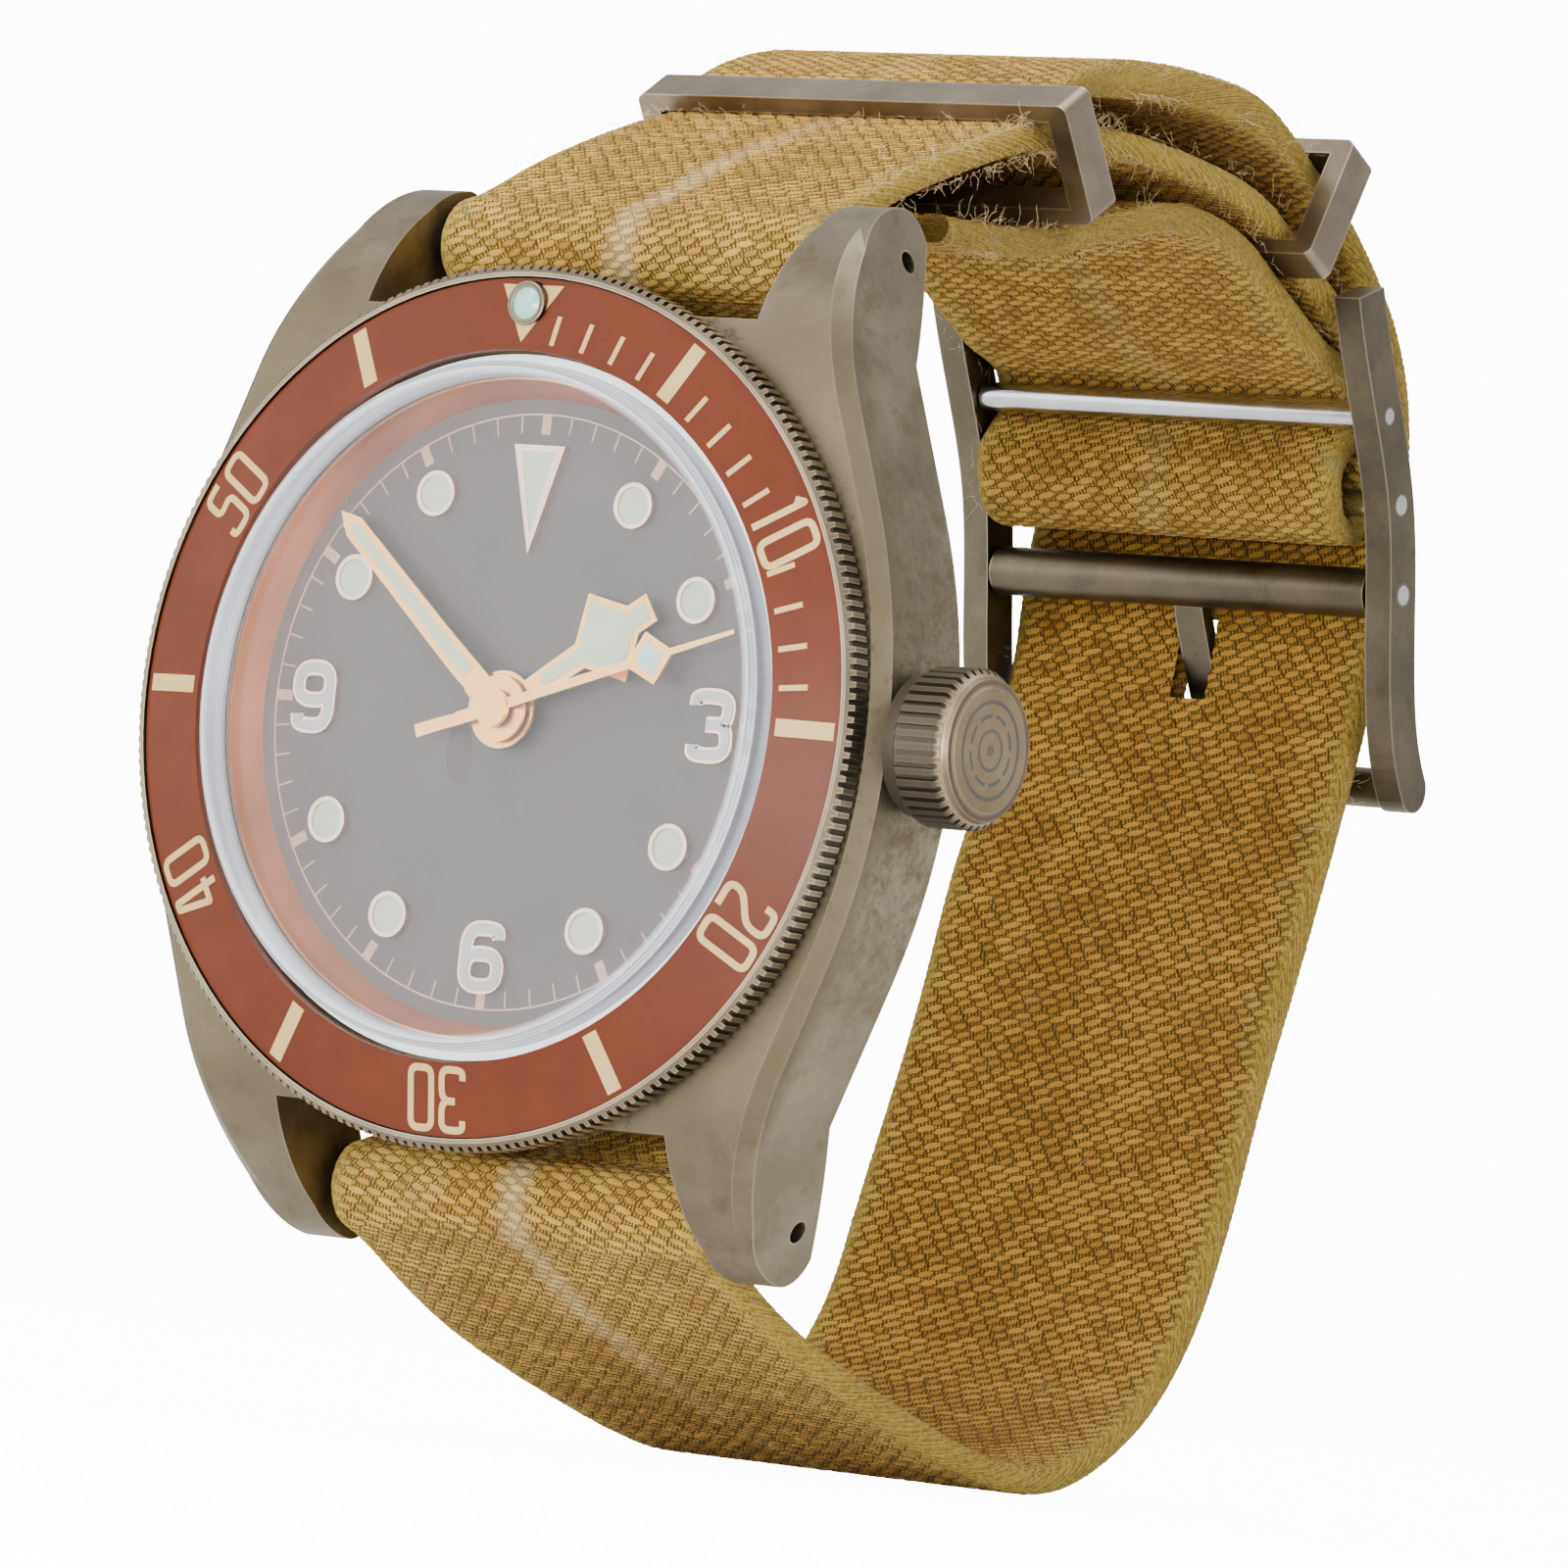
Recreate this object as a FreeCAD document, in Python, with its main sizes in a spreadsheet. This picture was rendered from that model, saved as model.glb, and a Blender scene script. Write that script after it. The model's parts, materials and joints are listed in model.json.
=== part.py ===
import FreeCAD, Part
import math
import os
import Sketcher
from FreeCAD import Placement, Rotation, Vector

# Mechanical dive watch on a one-piece fabric strap, millimetres.
# Frame: origin at the middle of the strap's flat wrist-side face behind the case, dial towards -Y,
# 12 o'clock towards +Z, crown towards +X. A "level" is a height above the wrist face, so Y = -level.

doc = FreeCAD.newDocument("dive_watch")
sheet = doc.addObject("Spreadsheet::Sheet", "Sizes")

SIZES = [
    # strap
    ("strap_half", 10.9, "half the strap's width"),
    ("strap_thick", 1.35, "strap thickness"),
    # case
    ("case_half", 21.15, "half the case's width at 3 and 9 o'clock"),
    ("case_front", 12.75, "level of the case's front face"),
    ("case_rear", 6.6, "level of the case's rear face"),
    ("case_bore", 15.95, "radius of the case's main bore"),
    ("flank_z", 10.7, "where the curved flank turns into the straight lug side"),
    ("flank_half", 19.2, "half the case's width there"),
    ("lug_half", 13.6, "half the width across the lug tips"),
    ("lug_tip", 25.1, "lug tips from the centre, along Z"),
    ("lug_inner", 11.3, "half the gap between the lugs"),
    ("lug_wall", 18.8, "case wall between the lugs, from the centre"),
    ("neck_outer", 17.2, "neck that carries the bezel"),
    ("neck_level", 13.9, "top of the neck"),
    ("crystal_seat", 13.32, "level that the crystal rests on"),
    # lug bars
    ("bar_z", 22.5, "lug bars from the centre"),
    ("bar_level", 5.6, "level of the lug bars"),
    ("bar_radius", 0.9, "lug bar tube"),
    ("tip_radius", 0.45, "lug bar tips"),
    ("tip_travel", 1.7, "how far a tip goes in"),
    # bezel and crystal
    ("bezel_radius", 20.6, "bezel outside the coin edge"),
    ("bezel_foot", 12.87, "level of the bezel's underside"),
    ("bezel_top", 14.4, "level of the bezel's outer lip"),
    ("insert_outer", 19.98, "insert outside"),
    ("insert_inner", 16.55, "insert inside"),
    ("insert_low", 14.25, "level of the insert's face at its outside"),
    ("insert_high", 14.87, "level of the insert's face at its inside"),
    ("insert_thick", 0.6, "insert thickness"),
    ("coin_teeth", 240, "teeth of the coin edge"),
    ("coin_depth", 0.22, "depth of the coin edge"),
    ("crystal_radius", 16.0, "crystal"),
    ("crystal_rim", 15.55, "level of the crystal's rim"),
    ("crystal_top", 16.15, "level of the dome"),
    # dial and hands
    ("dial_radius", 15.6, "dial"),
    ("dial_face", 11.3, "level of the dial's face"),
    ("dial_thick", 0.4, "dial thickness"),
    ("marker_ring", 11.35, "radius that the hour plots stand on"),
    ("plot_radius", 1.06, "round hour plots"),
    ("plot_height", 0.35, "applied markers above the dial"),
    ("hour_level", 12.08, "hour hand"),
    ("minute_level", 12.44, "minute hand"),
    ("seconds_level", 12.82, "seconds hand"),
    ("hand_thick", 0.16, "hands"),
    ("hour_angle", 56.5, "hour hand, degrees past 12"),
    ("minute_angle", 310.0, "minute hand, degrees past 12"),
    ("seconds_angle", 72.0, "seconds hand, degrees past 12"),
    ("cannon_outer", 0.72, "cannon pinion's pipe"),
    ("cannon_bore", 0.5, "cannon pinion's bore"),
    ("hour_pipe", 1.0, "hour wheel's pipe"),
    ("hour_bore", 0.77, "hour wheel's bore"),
    ("centre_outer", 0.46, "hollow centre arbor"),
    ("centre_bore", 0.3, "hollow centre arbor, bore"),
    ("seconds_arbor", 0.25, "seconds arbor"),
    # movement
    ("plate_radius", 14.2, "main plate"),
    ("plate_top", 10.85, "dial side of the main plate"),
    ("plate_floor", 8.7, "train side of the main plate"),
    ("bridge_top", 6.0, "train side of the bridges"),
    ("bridge_floor", 5.0, "rotor side of the bridges"),
    ("motion_radius", 6.0, "recess for the motion work"),
    ("third_distance", 5.4, "third wheel from the centre"),
    ("third_angle", -30.0, "degrees from +X towards +Z"),
    ("escape_distance", 5.46, "escape wheel from the centre"),
    ("escape_angle", -130.0, "degrees from +X towards +Z"),
    ("barrel_distance", 6.72, "barrel from the centre"),
    ("barrel_angle", 105.0, "degrees from +X towards +Z"),
    ("balance_x", -0.8, "balance staff"),
    ("balance_z", -9.9, "balance staff"),
    ("balance_radius", 3.9, "balance rim"),
    ("fork_x", -1.97, "pallet staff"),
    ("fork_z", -6.64, "pallet staff"),
    ("rotor_radius", 13.7, "winding rotor"),
    ("rotor_top", 4.6, "level of the rotor's plate"),
    ("rotor_low", 3.1, "level of the rotor's heavy rim"),
    # case back
    ("back_flat", 1.5, "level of the case back's outer face"),
    ("back_floor", 2.5, "level of the case back's inner floor"),
    ("back_radius", 17.3, "case back flange"),
    # crown
    ("crown_level", 9.7, "crown axis"),
    ("crown_radius", 3.7, "crown outside the grooves"),
    ("crown_base", 22.15, "inner end of the grooved part"),
    ("crown_face", 25.2, "outer face of the crown"),
    ("crown_grooves", 40, "grooves round the crown"),
    ("tube_outer", 1.9, "crown tube"),
    ("tube_bore", 1.2, "crown tube, bore"),
    ("stem_radius", 0.6, "winding stem"),
    ("crown_travel", 2.2, "how far the crown pulls out"),
    # buckle and keepers
    ("arm_inner", 11.45, "half the gap inside the buckle arms and keepers"),
    ("arm_outer", 12.95, "half the buckle's width"),
    ("keeper_outer", 12.6, "half the keepers' width"),
    ("hardware_shift", 0.45, "how far the buckle and keepers sit towards 3 o'clock"),
    ("arm_half", 1.15, "half the buckle arm's width"),
    ("keeper_depth", 2.2, "keeper along the strap"),
    ("keeper_bar", 0.85, "thickness of the keeper's long bars"),
    ("front_keeper_height", 6.3, "front keeper, outside height"),
    ("rear_keeper_height", 6.9, "rear keeper, outside height"),
]


class Size:
    """A number together with the spreadsheet expression that gives it."""

    def __init__(self, number, text):
        self.number = float(number)
        self.text = text

    def __add__(self, other):
        other = size_of(other)
        return Size(self.number + other.number, f"({self.text} + {other.text})")

    def __sub__(self, other):
        other = size_of(other)
        return Size(self.number - other.number, f"({self.text} - {other.text})")

    def __mul__(self, other):
        other = size_of(other)
        return Size(self.number * other.number, f"({self.text} * {other.text})")

    def __neg__(self):
        return Size(-self.number, f"(-1 * {self.text})")


def size_of(value):
    """A plain number as a Size, and a Size as itself."""
    if isinstance(value, Size):
        return value
    return Size(value, f"({value})")


class Table:
    """Reads the sheet: Table().case_half is the Size of the cell with that alias."""

    def __getattr__(self, alias):
        return Size(sheet.get(alias), f"Sizes.{alias}")


def fill_sheet():
    for row, (alias, number, note) in enumerate(SIZES, start=1):
        sheet.set(f"A{row}", note)
        sheet.set(f"B{row}", str(number))
        sheet.setAlias(f"B{row}", alias)
    doc.recompute()


fill_sheet()
S = Table()
PARTS = []
CUTS = []


# ---------------------------------------------------------------- drawing helpers


def new_body(label, x=0, level=0, z=0):
    """A PartDesign body placed with its own origin at (x, -level, z)."""
    body = doc.addObject("PartDesign::Body", label)
    body.Label = label
    body.Placement = Placement(Vector(0, 0, 0), Rotation())
    for axis, value in (("x", size_of(x)), ("y", -size_of(level)), ("z", size_of(z))):
        body.setExpression(f"Placement.Base.{axis}", value.text)
    PARTS.append(body)
    return body


def sketch_on(body, role, offset=0):
    """A sketch on one of the body's own origin planes, moved along the plane's normal by offset."""
    plane = [o for o in body.Origin.OriginFeatures if o.Role == role][0]
    sketch = body.newObject("Sketcher::SketchObject", body.Label + "_sketch")
    sketch.AttachmentSupport = [(plane, "")]
    sketch.MapMode = "FlatFace"
    sketch.setExpression("AttachmentOffset.Base.z", size_of(offset).text)
    return sketch


def fix_point(sketch, index, position, point):
    """Ties a point of the geometry to its two sheet expressions."""
    for kind, value in (("DistanceX", point[0]), ("DistanceY", point[1])):
        value = size_of(value)
        number = sketch.addConstraint(Sketcher.Constraint(kind, index, position, value.number))
        sketch.setExpression(f"Constraints[{number}]", value.text)


def arc_between(start, end, radius):
    """The short arc between two points, anticlockwise if the radius is positive, and its two ends."""
    chord = end - start
    half = chord.Length / 2
    height = math.sqrt(radius * radius - half * half)
    side = 1 if radius > 0 else -1
    normal = Vector(-chord.y, chord.x, 0).normalize() * side
    centre = (start + end) * 0.5 + normal * height
    first, last = (start, end) if radius > 0 else (end, start)
    low = math.atan2(first.y - centre.y, first.x - centre.x)
    high = math.atan2(last.y - centre.y, last.x - centre.x)
    if high < low:
        high += 2 * math.pi
    round_line = Part.Circle(centre, Vector(0, 0, 1), abs(radius))
    ends = (1, 2) if radius > 0 else (2, 1)
    return Part.ArcOfCircle(round_line, low, high), ends


def outline(sketch, points):
    """A closed outline through (x, y) points. A third number makes the next side an arc of that
    radius, which turns left if it is positive."""
    corners = [Vector(size_of(p[0]).number, size_of(p[1]).number, 0) for p in points]
    sides = []
    for i, point in enumerate(points):
        start, end = corners[i], corners[(i + 1) % len(corners)]
        if len(point) > 2:
            curve, ends = arc_between(start, end, size_of(point[2]).number)
        else:
            curve, ends = Part.LineSegment(start, end), (1, 2)
        sides.append((sketch.addGeometry(curve, False), ends))
    for i, (index, ends) in enumerate(sides):
        following, next_ends = sides[(i + 1) % len(sides)]
        sketch.addConstraint(
            Sketcher.Constraint("Coincident", index, ends[1], following, next_ends[0])
        )
        fix_point(sketch, index, ends[0], points[i][:2])
        if len(points[i]) > 2:
            radius = size_of(points[i][2])
            flat = radius if radius.number > 0 else -radius
            number = sketch.addConstraint(Sketcher.Constraint("Radius", index, flat.number))
            sketch.setExpression(f"Constraints[{number}]", flat.text)


def rectangle(sketch, x0, y0, x1, y1):
    """An upright rectangle between two corners."""
    outline(sketch, [(x0, y0), (x1, y0), (x1, y1), (x0, y1)])


def circle(sketch, radius, x=0, y=0):
    """A circle whose radius and centre come from the sheet."""
    radius = size_of(radius)
    centre = Vector(size_of(x).number, size_of(y).number, 0)
    index = sketch.addGeometry(Part.Circle(centre, Vector(0, 0, 1), radius.number), False)
    number = sketch.addConstraint(Sketcher.Constraint("Radius", index, radius.number))
    sketch.setExpression(f"Constraints[{number}]", radius.text)
    fix_point(sketch, index, 3, (x, y))


def add_turn(body, points, about="V_Axis"):
    """Turns an outline drawn as (radius, level) about Y, or as (x, radius) about X."""
    sketch = sketch_on(body, "XY_Plane")
    if about == "V_Axis":
        points = [(p[0], -size_of(p[1]), *p[2:]) for p in points]
    outline(sketch, points)
    turn = body.newObject("PartDesign::Revolution", body.Label + "_turn")
    turn.Profile = sketch
    turn.ReferenceAxis = (sketch, [about])
    turn.Angle = 360
    return turn


def turned(label, points, x=0, z=0):
    """A part of its own turned about an axis along Y, from (radius, level) points."""
    body = new_body(label, x=x, z=z)
    add_turn(body, points)
    return body


def turned_along_x(label, points, level, z=0):
    """A part of its own turned about an axis along X, from (x, radius) points."""
    body = new_body(label, level=level, z=z)
    add_turn(body, points, about="H_Axis")
    return body


def add_pad(body, role, offset, length, draw):
    """Pads what draw(sketch) draws, from offset, along the plane's normal."""
    sketch = sketch_on(body, role, offset)
    draw(sketch)
    pad = body.newObject("PartDesign::Pad", body.Label + "_pad")
    pad.Profile = sketch
    pad.setExpression("Length", size_of(length).text)
    return pad


def add_cut(body, role, offset, length, draw):
    """Cuts what draw(sketch) draws, from offset, along the plane's normal."""
    before = body.Tip
    sketch = sketch_on(body, role, offset)
    draw(sketch)
    cut = body.newObject("PartDesign::Pocket", body.Label + "_cut")
    cut.Profile = sketch
    cut.setExpression("Length", size_of(length).text)
    cut.Reversed = True
    CUTS.append((before, cut))
    return cut


def repeat_round(body, feature, role, count):
    """Repeats a feature evenly round one of the body's origin axes."""
    axis = [o for o in body.Origin.OriginFeatures if o.Role == role][0]
    pattern = body.newObject("PartDesign::PolarPattern", body.Label + "_pattern")
    pattern.Originals = [feature]
    pattern.Axis = (axis, [""])
    pattern.Angle = 360
    pattern.setExpression("Occurrences", size_of(count).text)
    body.Tip = pattern
    return pattern


def coded(label, shape, x=0, level=0, z=0):
    """A part whose shape is worked out in code, with its own origin at (x, -level, z)."""
    part = doc.addObject("Part::Feature", label)
    part.Label = label
    part.Shape = shape
    part.Placement = Placement(Vector(x, -level, z), Rotation()).multiply(shape.Placement)
    PARTS.append(part)
    return part


def polar(distance, degrees):
    """(x, z) at a distance from the centre, in a direction counted from +X towards +Z."""
    angle = math.radians(degrees)
    return distance * math.cos(angle), distance * math.sin(angle)


def clock(radius, degrees):
    """(x, z) at a radius, in a direction counted clockwise from 12 as the wearer sees the dial."""
    angle = math.radians(degrees)
    return radius * math.sin(angle), radius * math.cos(angle)


def plate(points, level, thick):
    """A flat piece with its outline in X and Z, from level up to level + thick."""
    wire = Part.makePolygon([Vector(x, -level, z) for x, z in points + points[:1]])
    return Part.Face(wire).extrude(Vector(0, -thick, 0))


def drum(radius, level, thick, x=0, z=0):
    """A plain cylinder along Y, from level up to level + thick."""
    return Part.makeCylinder(radius, thick, Vector(x, -level, z), Vector(0, -1, 0))


# ---------------------------------------------------------------- gears


def gear_outline(teeth, module, thickness=0.42, addendum=0.9, dedendum=1.15):
    """Points of a gear with rounded-off teeth, the first tooth centred on +X."""
    pitch_radius = teeth * module / 2
    levels = [
        (pitch_radius - dedendum * module, thickness + 0.1),
        (pitch_radius, thickness),
        (pitch_radius + 0.55 * module, thickness * 0.66),
        (pitch_radius + addendum * module, thickness * 0.22),
    ]
    points = []
    for tooth in range(teeth):
        middle = tooth * 360 / teeth
        half = [(radius, share * 180 / teeth) for radius, share in levels]
        flank = [polar(radius, middle - width) for radius, width in half]
        other = [polar(radius, middle + width) for radius, width in reversed(half)]
        points += flank + other
    return points


def gear(teeth, module, level, thick, hole=0.0):
    """A toothed wheel about the Y axis, solid or with a hole."""
    wheel = plate(gear_outline(teeth, module), level, thick)
    if hole:
        wheel = wheel.cut(drum(hole, level - 1, thick + 2))
    return wheel


def spoked(wheel, teeth, module, level, thick, spokes=4):
    """Opens windows between a wheel's hub and rim."""
    rim = teeth * module / 2 - 2.6 * module
    hub = 0.28 * rim
    window = drum(rim, level - 1, thick + 2).cut(drum(hub, level - 2, thick + 4))
    arm = 0.17 * rim
    for spoke in range(spokes):
        bar = Part.makeBox(rim, thick + 4, arm, Vector(0, -level - thick - 2, -arm / 2))
        bar.rotate(Vector(0, 0, 0), Vector(0, 1, 0), spoke * 360 / spokes)
        window = window.cut(bar)
    return wheel.cut(window)


def mesh_turn(own_teeth, other_teeth, direction, other_turn=0.0):
    """Turn of a wheel about +Y that meshes it with its neighbour. The wheel lies in that direction
    from the neighbour, counted from +X towards +Z."""
    other_phase = (direction + other_turn) * other_teeth / 360
    own_tooth = direction + 180 - (0.5 - other_phase) * 360 / own_teeth
    return -(own_tooth % (360 / own_teeth))


def turn_shape(shape, degrees):
    """The shape turned about the Y axis through the origin."""
    shape = shape.copy()
    shape.rotate(Vector(0, 0, 0), Vector(0, 1, 0), degrees)
    return shape


def bar_between(start, end, half, level, thick):
    """A flat bar with round ends between two (x, z) points."""
    along = math.hypot(end[0] - start[0], end[1] - start[1])
    side = (-(end[1] - start[1]) / along * half, (end[0] - start[0]) / along * half)
    corners = [
        (start[0] + side[0], start[1] + side[1]),
        (end[0] + side[0], end[1] + side[1]),
        (end[0] - side[0], end[1] - side[1]),
        (start[0] - side[0], start[1] - side[1]),
    ]
    bar = plate(corners, level, thick)
    bar = bar.fuse(drum(half, level, thick, *start))
    return bar.fuse(drum(half, level, thick, *end))


def fuse_all(shapes):
    """One shape from several that overlap."""
    whole = shapes[0].multiFuse(shapes[1:]) if len(shapes) > 1 else shapes[0]
    return whole.removeSplitter()


# ---------------------------------------------------------------- case, bezel and crystal


def lug_profile():
    """(Y, Z) side view of the case with both pairs of lugs."""
    front, rear = -S.case_front, -S.case_rear
    return [
        (front, -15.2),
        (front, 15.2, -10.3),
        (-8.2, 23.7, -5.147),
        (-5.2, S.lug_tip, -1.453),
        (-3.7, 23.6, -40.0),
        (rear, 17.6),
        (rear, -17.6, -40.0),
        (-3.7, -23.6, -1.453),
        (-5.2, -S.lug_tip, -5.147),
        (-8.2, -23.7, -10.453),
    ]


def case_plan(sketch):
    """Everything outside the case's plan view."""
    rectangle(sketch, -26, -30, 26, 30)
    outline(
        sketch,
        [
            (S.flank_half, -S.flank_z, 30.3),
            (S.flank_half, S.flank_z),
            (S.lug_half, S.lug_tip + 0.5),
            (-S.lug_half, S.lug_tip + 0.5),
            (-S.flank_half, S.flank_z, 30.3),
            (-S.flank_half, -S.flank_z),
            (-S.lug_half, -S.lug_tip - 0.5),
            (S.lug_half, -S.lug_tip - 0.5),
        ],
    )


def lug_gaps(sketch):
    rectangle(sketch, -S.lug_inner, S.lug_wall, S.lug_inner, 30)
    rectangle(sketch, -S.lug_inner, -30, S.lug_inner, -S.lug_wall)


def lug_holes(sketch):
    circle(sketch, S.tip_radius + 0.06, -S.bar_level, S.bar_z)
    circle(sketch, S.tip_radius + 0.06, -S.bar_level, -S.bar_z)


def lug_bevels(body, feature):
    """Bevels along the front edges of the lugs' flanks."""
    names = []
    for number, edge in enumerate(feature.Shape.Edges, start=1):
        box = edge.BoundBox
        outside = abs(box.Center.x) > S.lug_half.number + 0.2 and abs(box.Center.z) > 15.5
        in_front = -12.8 < box.Center.y < -8.3 and box.ZLength > 1.5 and box.YLength > 0.3
        if outside and in_front:
            names.append(f"Edge{number}")
    bevel = body.newObject("PartDesign::Chamfer", body.Label + "_bevel")
    bevel.Base = (feature, names)
    bevel.Size = 0.7
    body.Tip = bevel
    return bevel


def case_middle():
    body = new_body("case_middle")
    add_pad(body, "YZ_Plane", -23, 46, lambda k: outline(k, lug_profile()))
    add_cut(body, "XZ_Plane", 0, 20, case_plan)
    add_cut(body, "XZ_Plane", 0, 20, lug_gaps)
    add_cut(body, "XZ_Plane", 0, 20, lambda k: circle(k, S.case_bore))
    add_cut(body, "YZ_Plane", -23, 46, lug_holes)
    add_cut(body, "YZ_Plane", 14, 12, lambda k: circle(k, S.tube_outer + 0.02, -S.crown_level, 0))
    doc.recompute()
    lug_bevels(body, body.Tip)
    add_turn(
        body,
        [
            (S.case_bore, 12.0),
            (S.neck_outer, 12.0),
            (S.neck_outer, S.neck_level),
            (16.45, S.neck_level),
            (16.45, S.crystal_seat - 0.02),
            (15.4, S.crystal_seat - 0.02),
            (15.4, 13.05),
            (S.case_bore, 13.05),
        ],
    )


def case_back():
    body = turned(
        "case_back",
        [
            (0, S.back_flat),
            (13.4, S.back_flat),
            (16.3, 2.15),
            (S.back_radius, 3.1),
            (S.back_radius, S.case_rear - 0.05),
            (16.95, S.case_rear - 0.05),
            (16.95, S.case_rear - 0.25),
            (16.1, S.case_rear - 0.25),
            (16.1, S.case_rear - 0.05),
            (S.case_bore - 0.1, S.case_rear - 0.05),
            (S.case_bore - 0.1, 7.5),
            (14.6, 7.5),
            (14.6, S.back_floor),
            (0, S.back_floor),
        ],
    )
    notch = add_cut(
        body, "XZ_Plane", 1.0, 1.05, lambda k: rectangle(k, 13.0, -1.3, 15.6, 1.3)
    )
    repeat_round(body, notch, "Y_Axis", 6)


def bezel_ring():
    """Bezel turned to its section, with the coin edge cut round it."""
    low, top, outer = S.bezel_foot.number, S.bezel_top.number, S.bezel_radius.number
    depth = S.coin_depth.number
    section = [
        (17.35, low),
        (outer - depth, low),
        (outer, low + 0.25),
        (outer, top - 0.35),
        (outer - 0.35, top),
        (20.05, top),
        (20.05, 13.6),
        (16.5, 14.22),
        (16.5, 13.95),
        (17.35, 13.95),
    ]
    wire = Part.makePolygon([Vector(r, -level, 0) for r, level in section + section[:1]])
    ring = Part.Face(wire).revolve(Vector(0, 0, 0), Vector(0, 1, 0), 360)
    recess = drum(19.6, low - 1, 1.3).cut(drum(17.85, low - 2, 3))
    teeth = int(S.coin_teeth.number)
    points = []
    for tooth in range(teeth):
        for share, radius in ((0.0, 0.6), (0.3, 0.6), (0.42, -depth), (0.88, -depth)):
            points.append(polar(outer + radius, (tooth + share) * 360 / teeth))
    coin = plate(points, low - 1, 4)
    coded("bezel_ring", ring.cut(recess).common(coin))


def bezel_click_spring():
    ring = drum(19.5, 12.79, 0.18).cut(drum(18.0, 12, 2))
    click = Part.makeBox(1.6, 0.2, 1.0, Vector(-0.8, -13.1, 18.2))
    slot = Part.makeBox(1.0, 1.0, 2.5, Vector(-0.5, -13.3, -20))
    coded("bezel_click_spring", ring.cut(slot).fuse(click).removeSplitter())


def bezel_insert():
    body = turned(
        "bezel_insert",
        [
            (S.insert_outer, S.insert_low),
            (S.insert_outer, S.insert_low - S.insert_thick + 0.02),
            (S.insert_inner, S.insert_high - S.insert_thick + 0.02),
            (S.insert_inner, S.insert_high),
        ],
    )
    add_cut(body, "XZ_Plane", 12, 4, lambda k: circle(k, 1.08, 0, 18.75))
    return body


def bezel_pearl():
    turned(
        "bezel_pearl",
        [(0, 14.06), (1.0, 14.06), (1.0, 14.5), (0.85, 14.68), (0.45, 14.86), (0, 14.92)],
        z=18.75,
    )


def crystal():
    rim, top, seat = S.crystal_rim, S.crystal_top, S.crystal_seat
    turned(
        "crystal",
        [
            (0, seat + 0.05),
            (15.2, seat + 0.05),
            (15.2, seat),
            (S.crystal_radius, seat),
            (S.crystal_radius, rim - 0.3),
            (S.crystal_radius - 0.3, rim, 205),
            (0.6, top),
            (0, top),
        ],
    )
    turned(
        "crystal_gasket",
        [(16.02, 13.32), (16.42, 13.32), (16.42, 14.15), (16.02, 14.15)],
    )


def rehaut_and_dial():
    turned(
        "rehaut_ring",
        [
            (14.6, S.dial_face + 0.02),
            (15.88, S.dial_face + 0.02),
            (15.88, 13.02),
            (15.3, 13.02),
        ],
    )
    low = S.dial_face - S.dial_thick
    turned(
        "dial",
        [(1.15, low), (S.dial_radius, low), (S.dial_radius, S.dial_face), (1.15, S.dial_face)],
    )


def digit_wire(kind):
    """Outline of a big numeral as a centre line in a box 1 wide and 1 high."""
    lines = {
        "3": [(-0.5, 0.5), (0.5, 0.5), (0.0, 0.1), (0.5, -0.05), (0.5, -0.35), (0.3, -0.5), (-0.5, -0.5)],
        "6": [(0.4, 0.5), (-0.3, 0.5), (-0.5, 0.3), (-0.5, -0.3), (-0.3, -0.5), (0.3, -0.5), (0.5, -0.3),
              (0.5, -0.1), (0.3, 0.1), (-0.4, 0.1)],
        "9": [(-0.4, -0.5), (0.3, -0.5), (0.5, -0.3), (0.5, 0.3), (0.3, 0.5), (-0.3, 0.5), (-0.5, 0.3),
              (-0.5, 0.1), (-0.3, -0.1), (0.4, -0.1)],
    }
    return lines[kind]


def numeral(kind, x, z):
    """A big numeral standing on the dial, upright, centred at (x, z)."""
    face, height = S.dial_face.number + 0.01, S.plot_height.number
    points = [(x + px * 1.95, z + pz * 2.75) for px, pz in digit_wire(kind)]
    bars = [bar_between(a, b, 0.33, face, height) for a, b in zip(points, points[1:])]
    return fuse_all(bars)


def hour_markers():
    """Applied plots, triangle and numerals."""
    face, height = S.dial_face.number + 0.01, S.plot_height.number
    ring = S.marker_ring.number
    pieces = []
    for hour in (1, 2, 4, 5, 7, 8, 10, 11):
        pieces.append(drum(S.plot_radius.number, face, height, *clock(ring, hour * 30)))
    pieces.append(plate([(-1.45, 12.38), (1.45, 12.38), (0, 7.27)], face, height))
    pieces.append(numeral("3", ring, 0))
    pieces.append(numeral("6", 0, -ring))
    pieces.append(numeral("9", -ring, 0))
    coded("hour_markers", Part.makeCompound(pieces))


# ---------------------------------------------------------------- hands


def along(points, degrees):
    """Turns points drawn along 12 o'clock to a clock direction."""
    turned_points = []
    for side, forward in points:
        x, z = clock(forward, degrees)
        sx, sz = clock(side, degrees + 90)
        turned_points.append((x + sx, z + sz))
    return turned_points


def mirrored_outline(half):
    """A symmetric outline from (half width, distance) pairs, from the hub to the tip."""
    return half + [(-side, forward) for side, forward in reversed(half) if side > 0]


def hand(label, half, angle, level, hub, bore):
    """A flat hand with a round hub and a hole."""
    thick = S.hand_thick.number
    blade = plate(along(mirrored_outline(half), angle), level, thick)
    shape = blade.fuse(drum(hub, level, thick)).removeSplitter()
    coded(label, shape.cut(drum(bore, level - 1, 3)))


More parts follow.
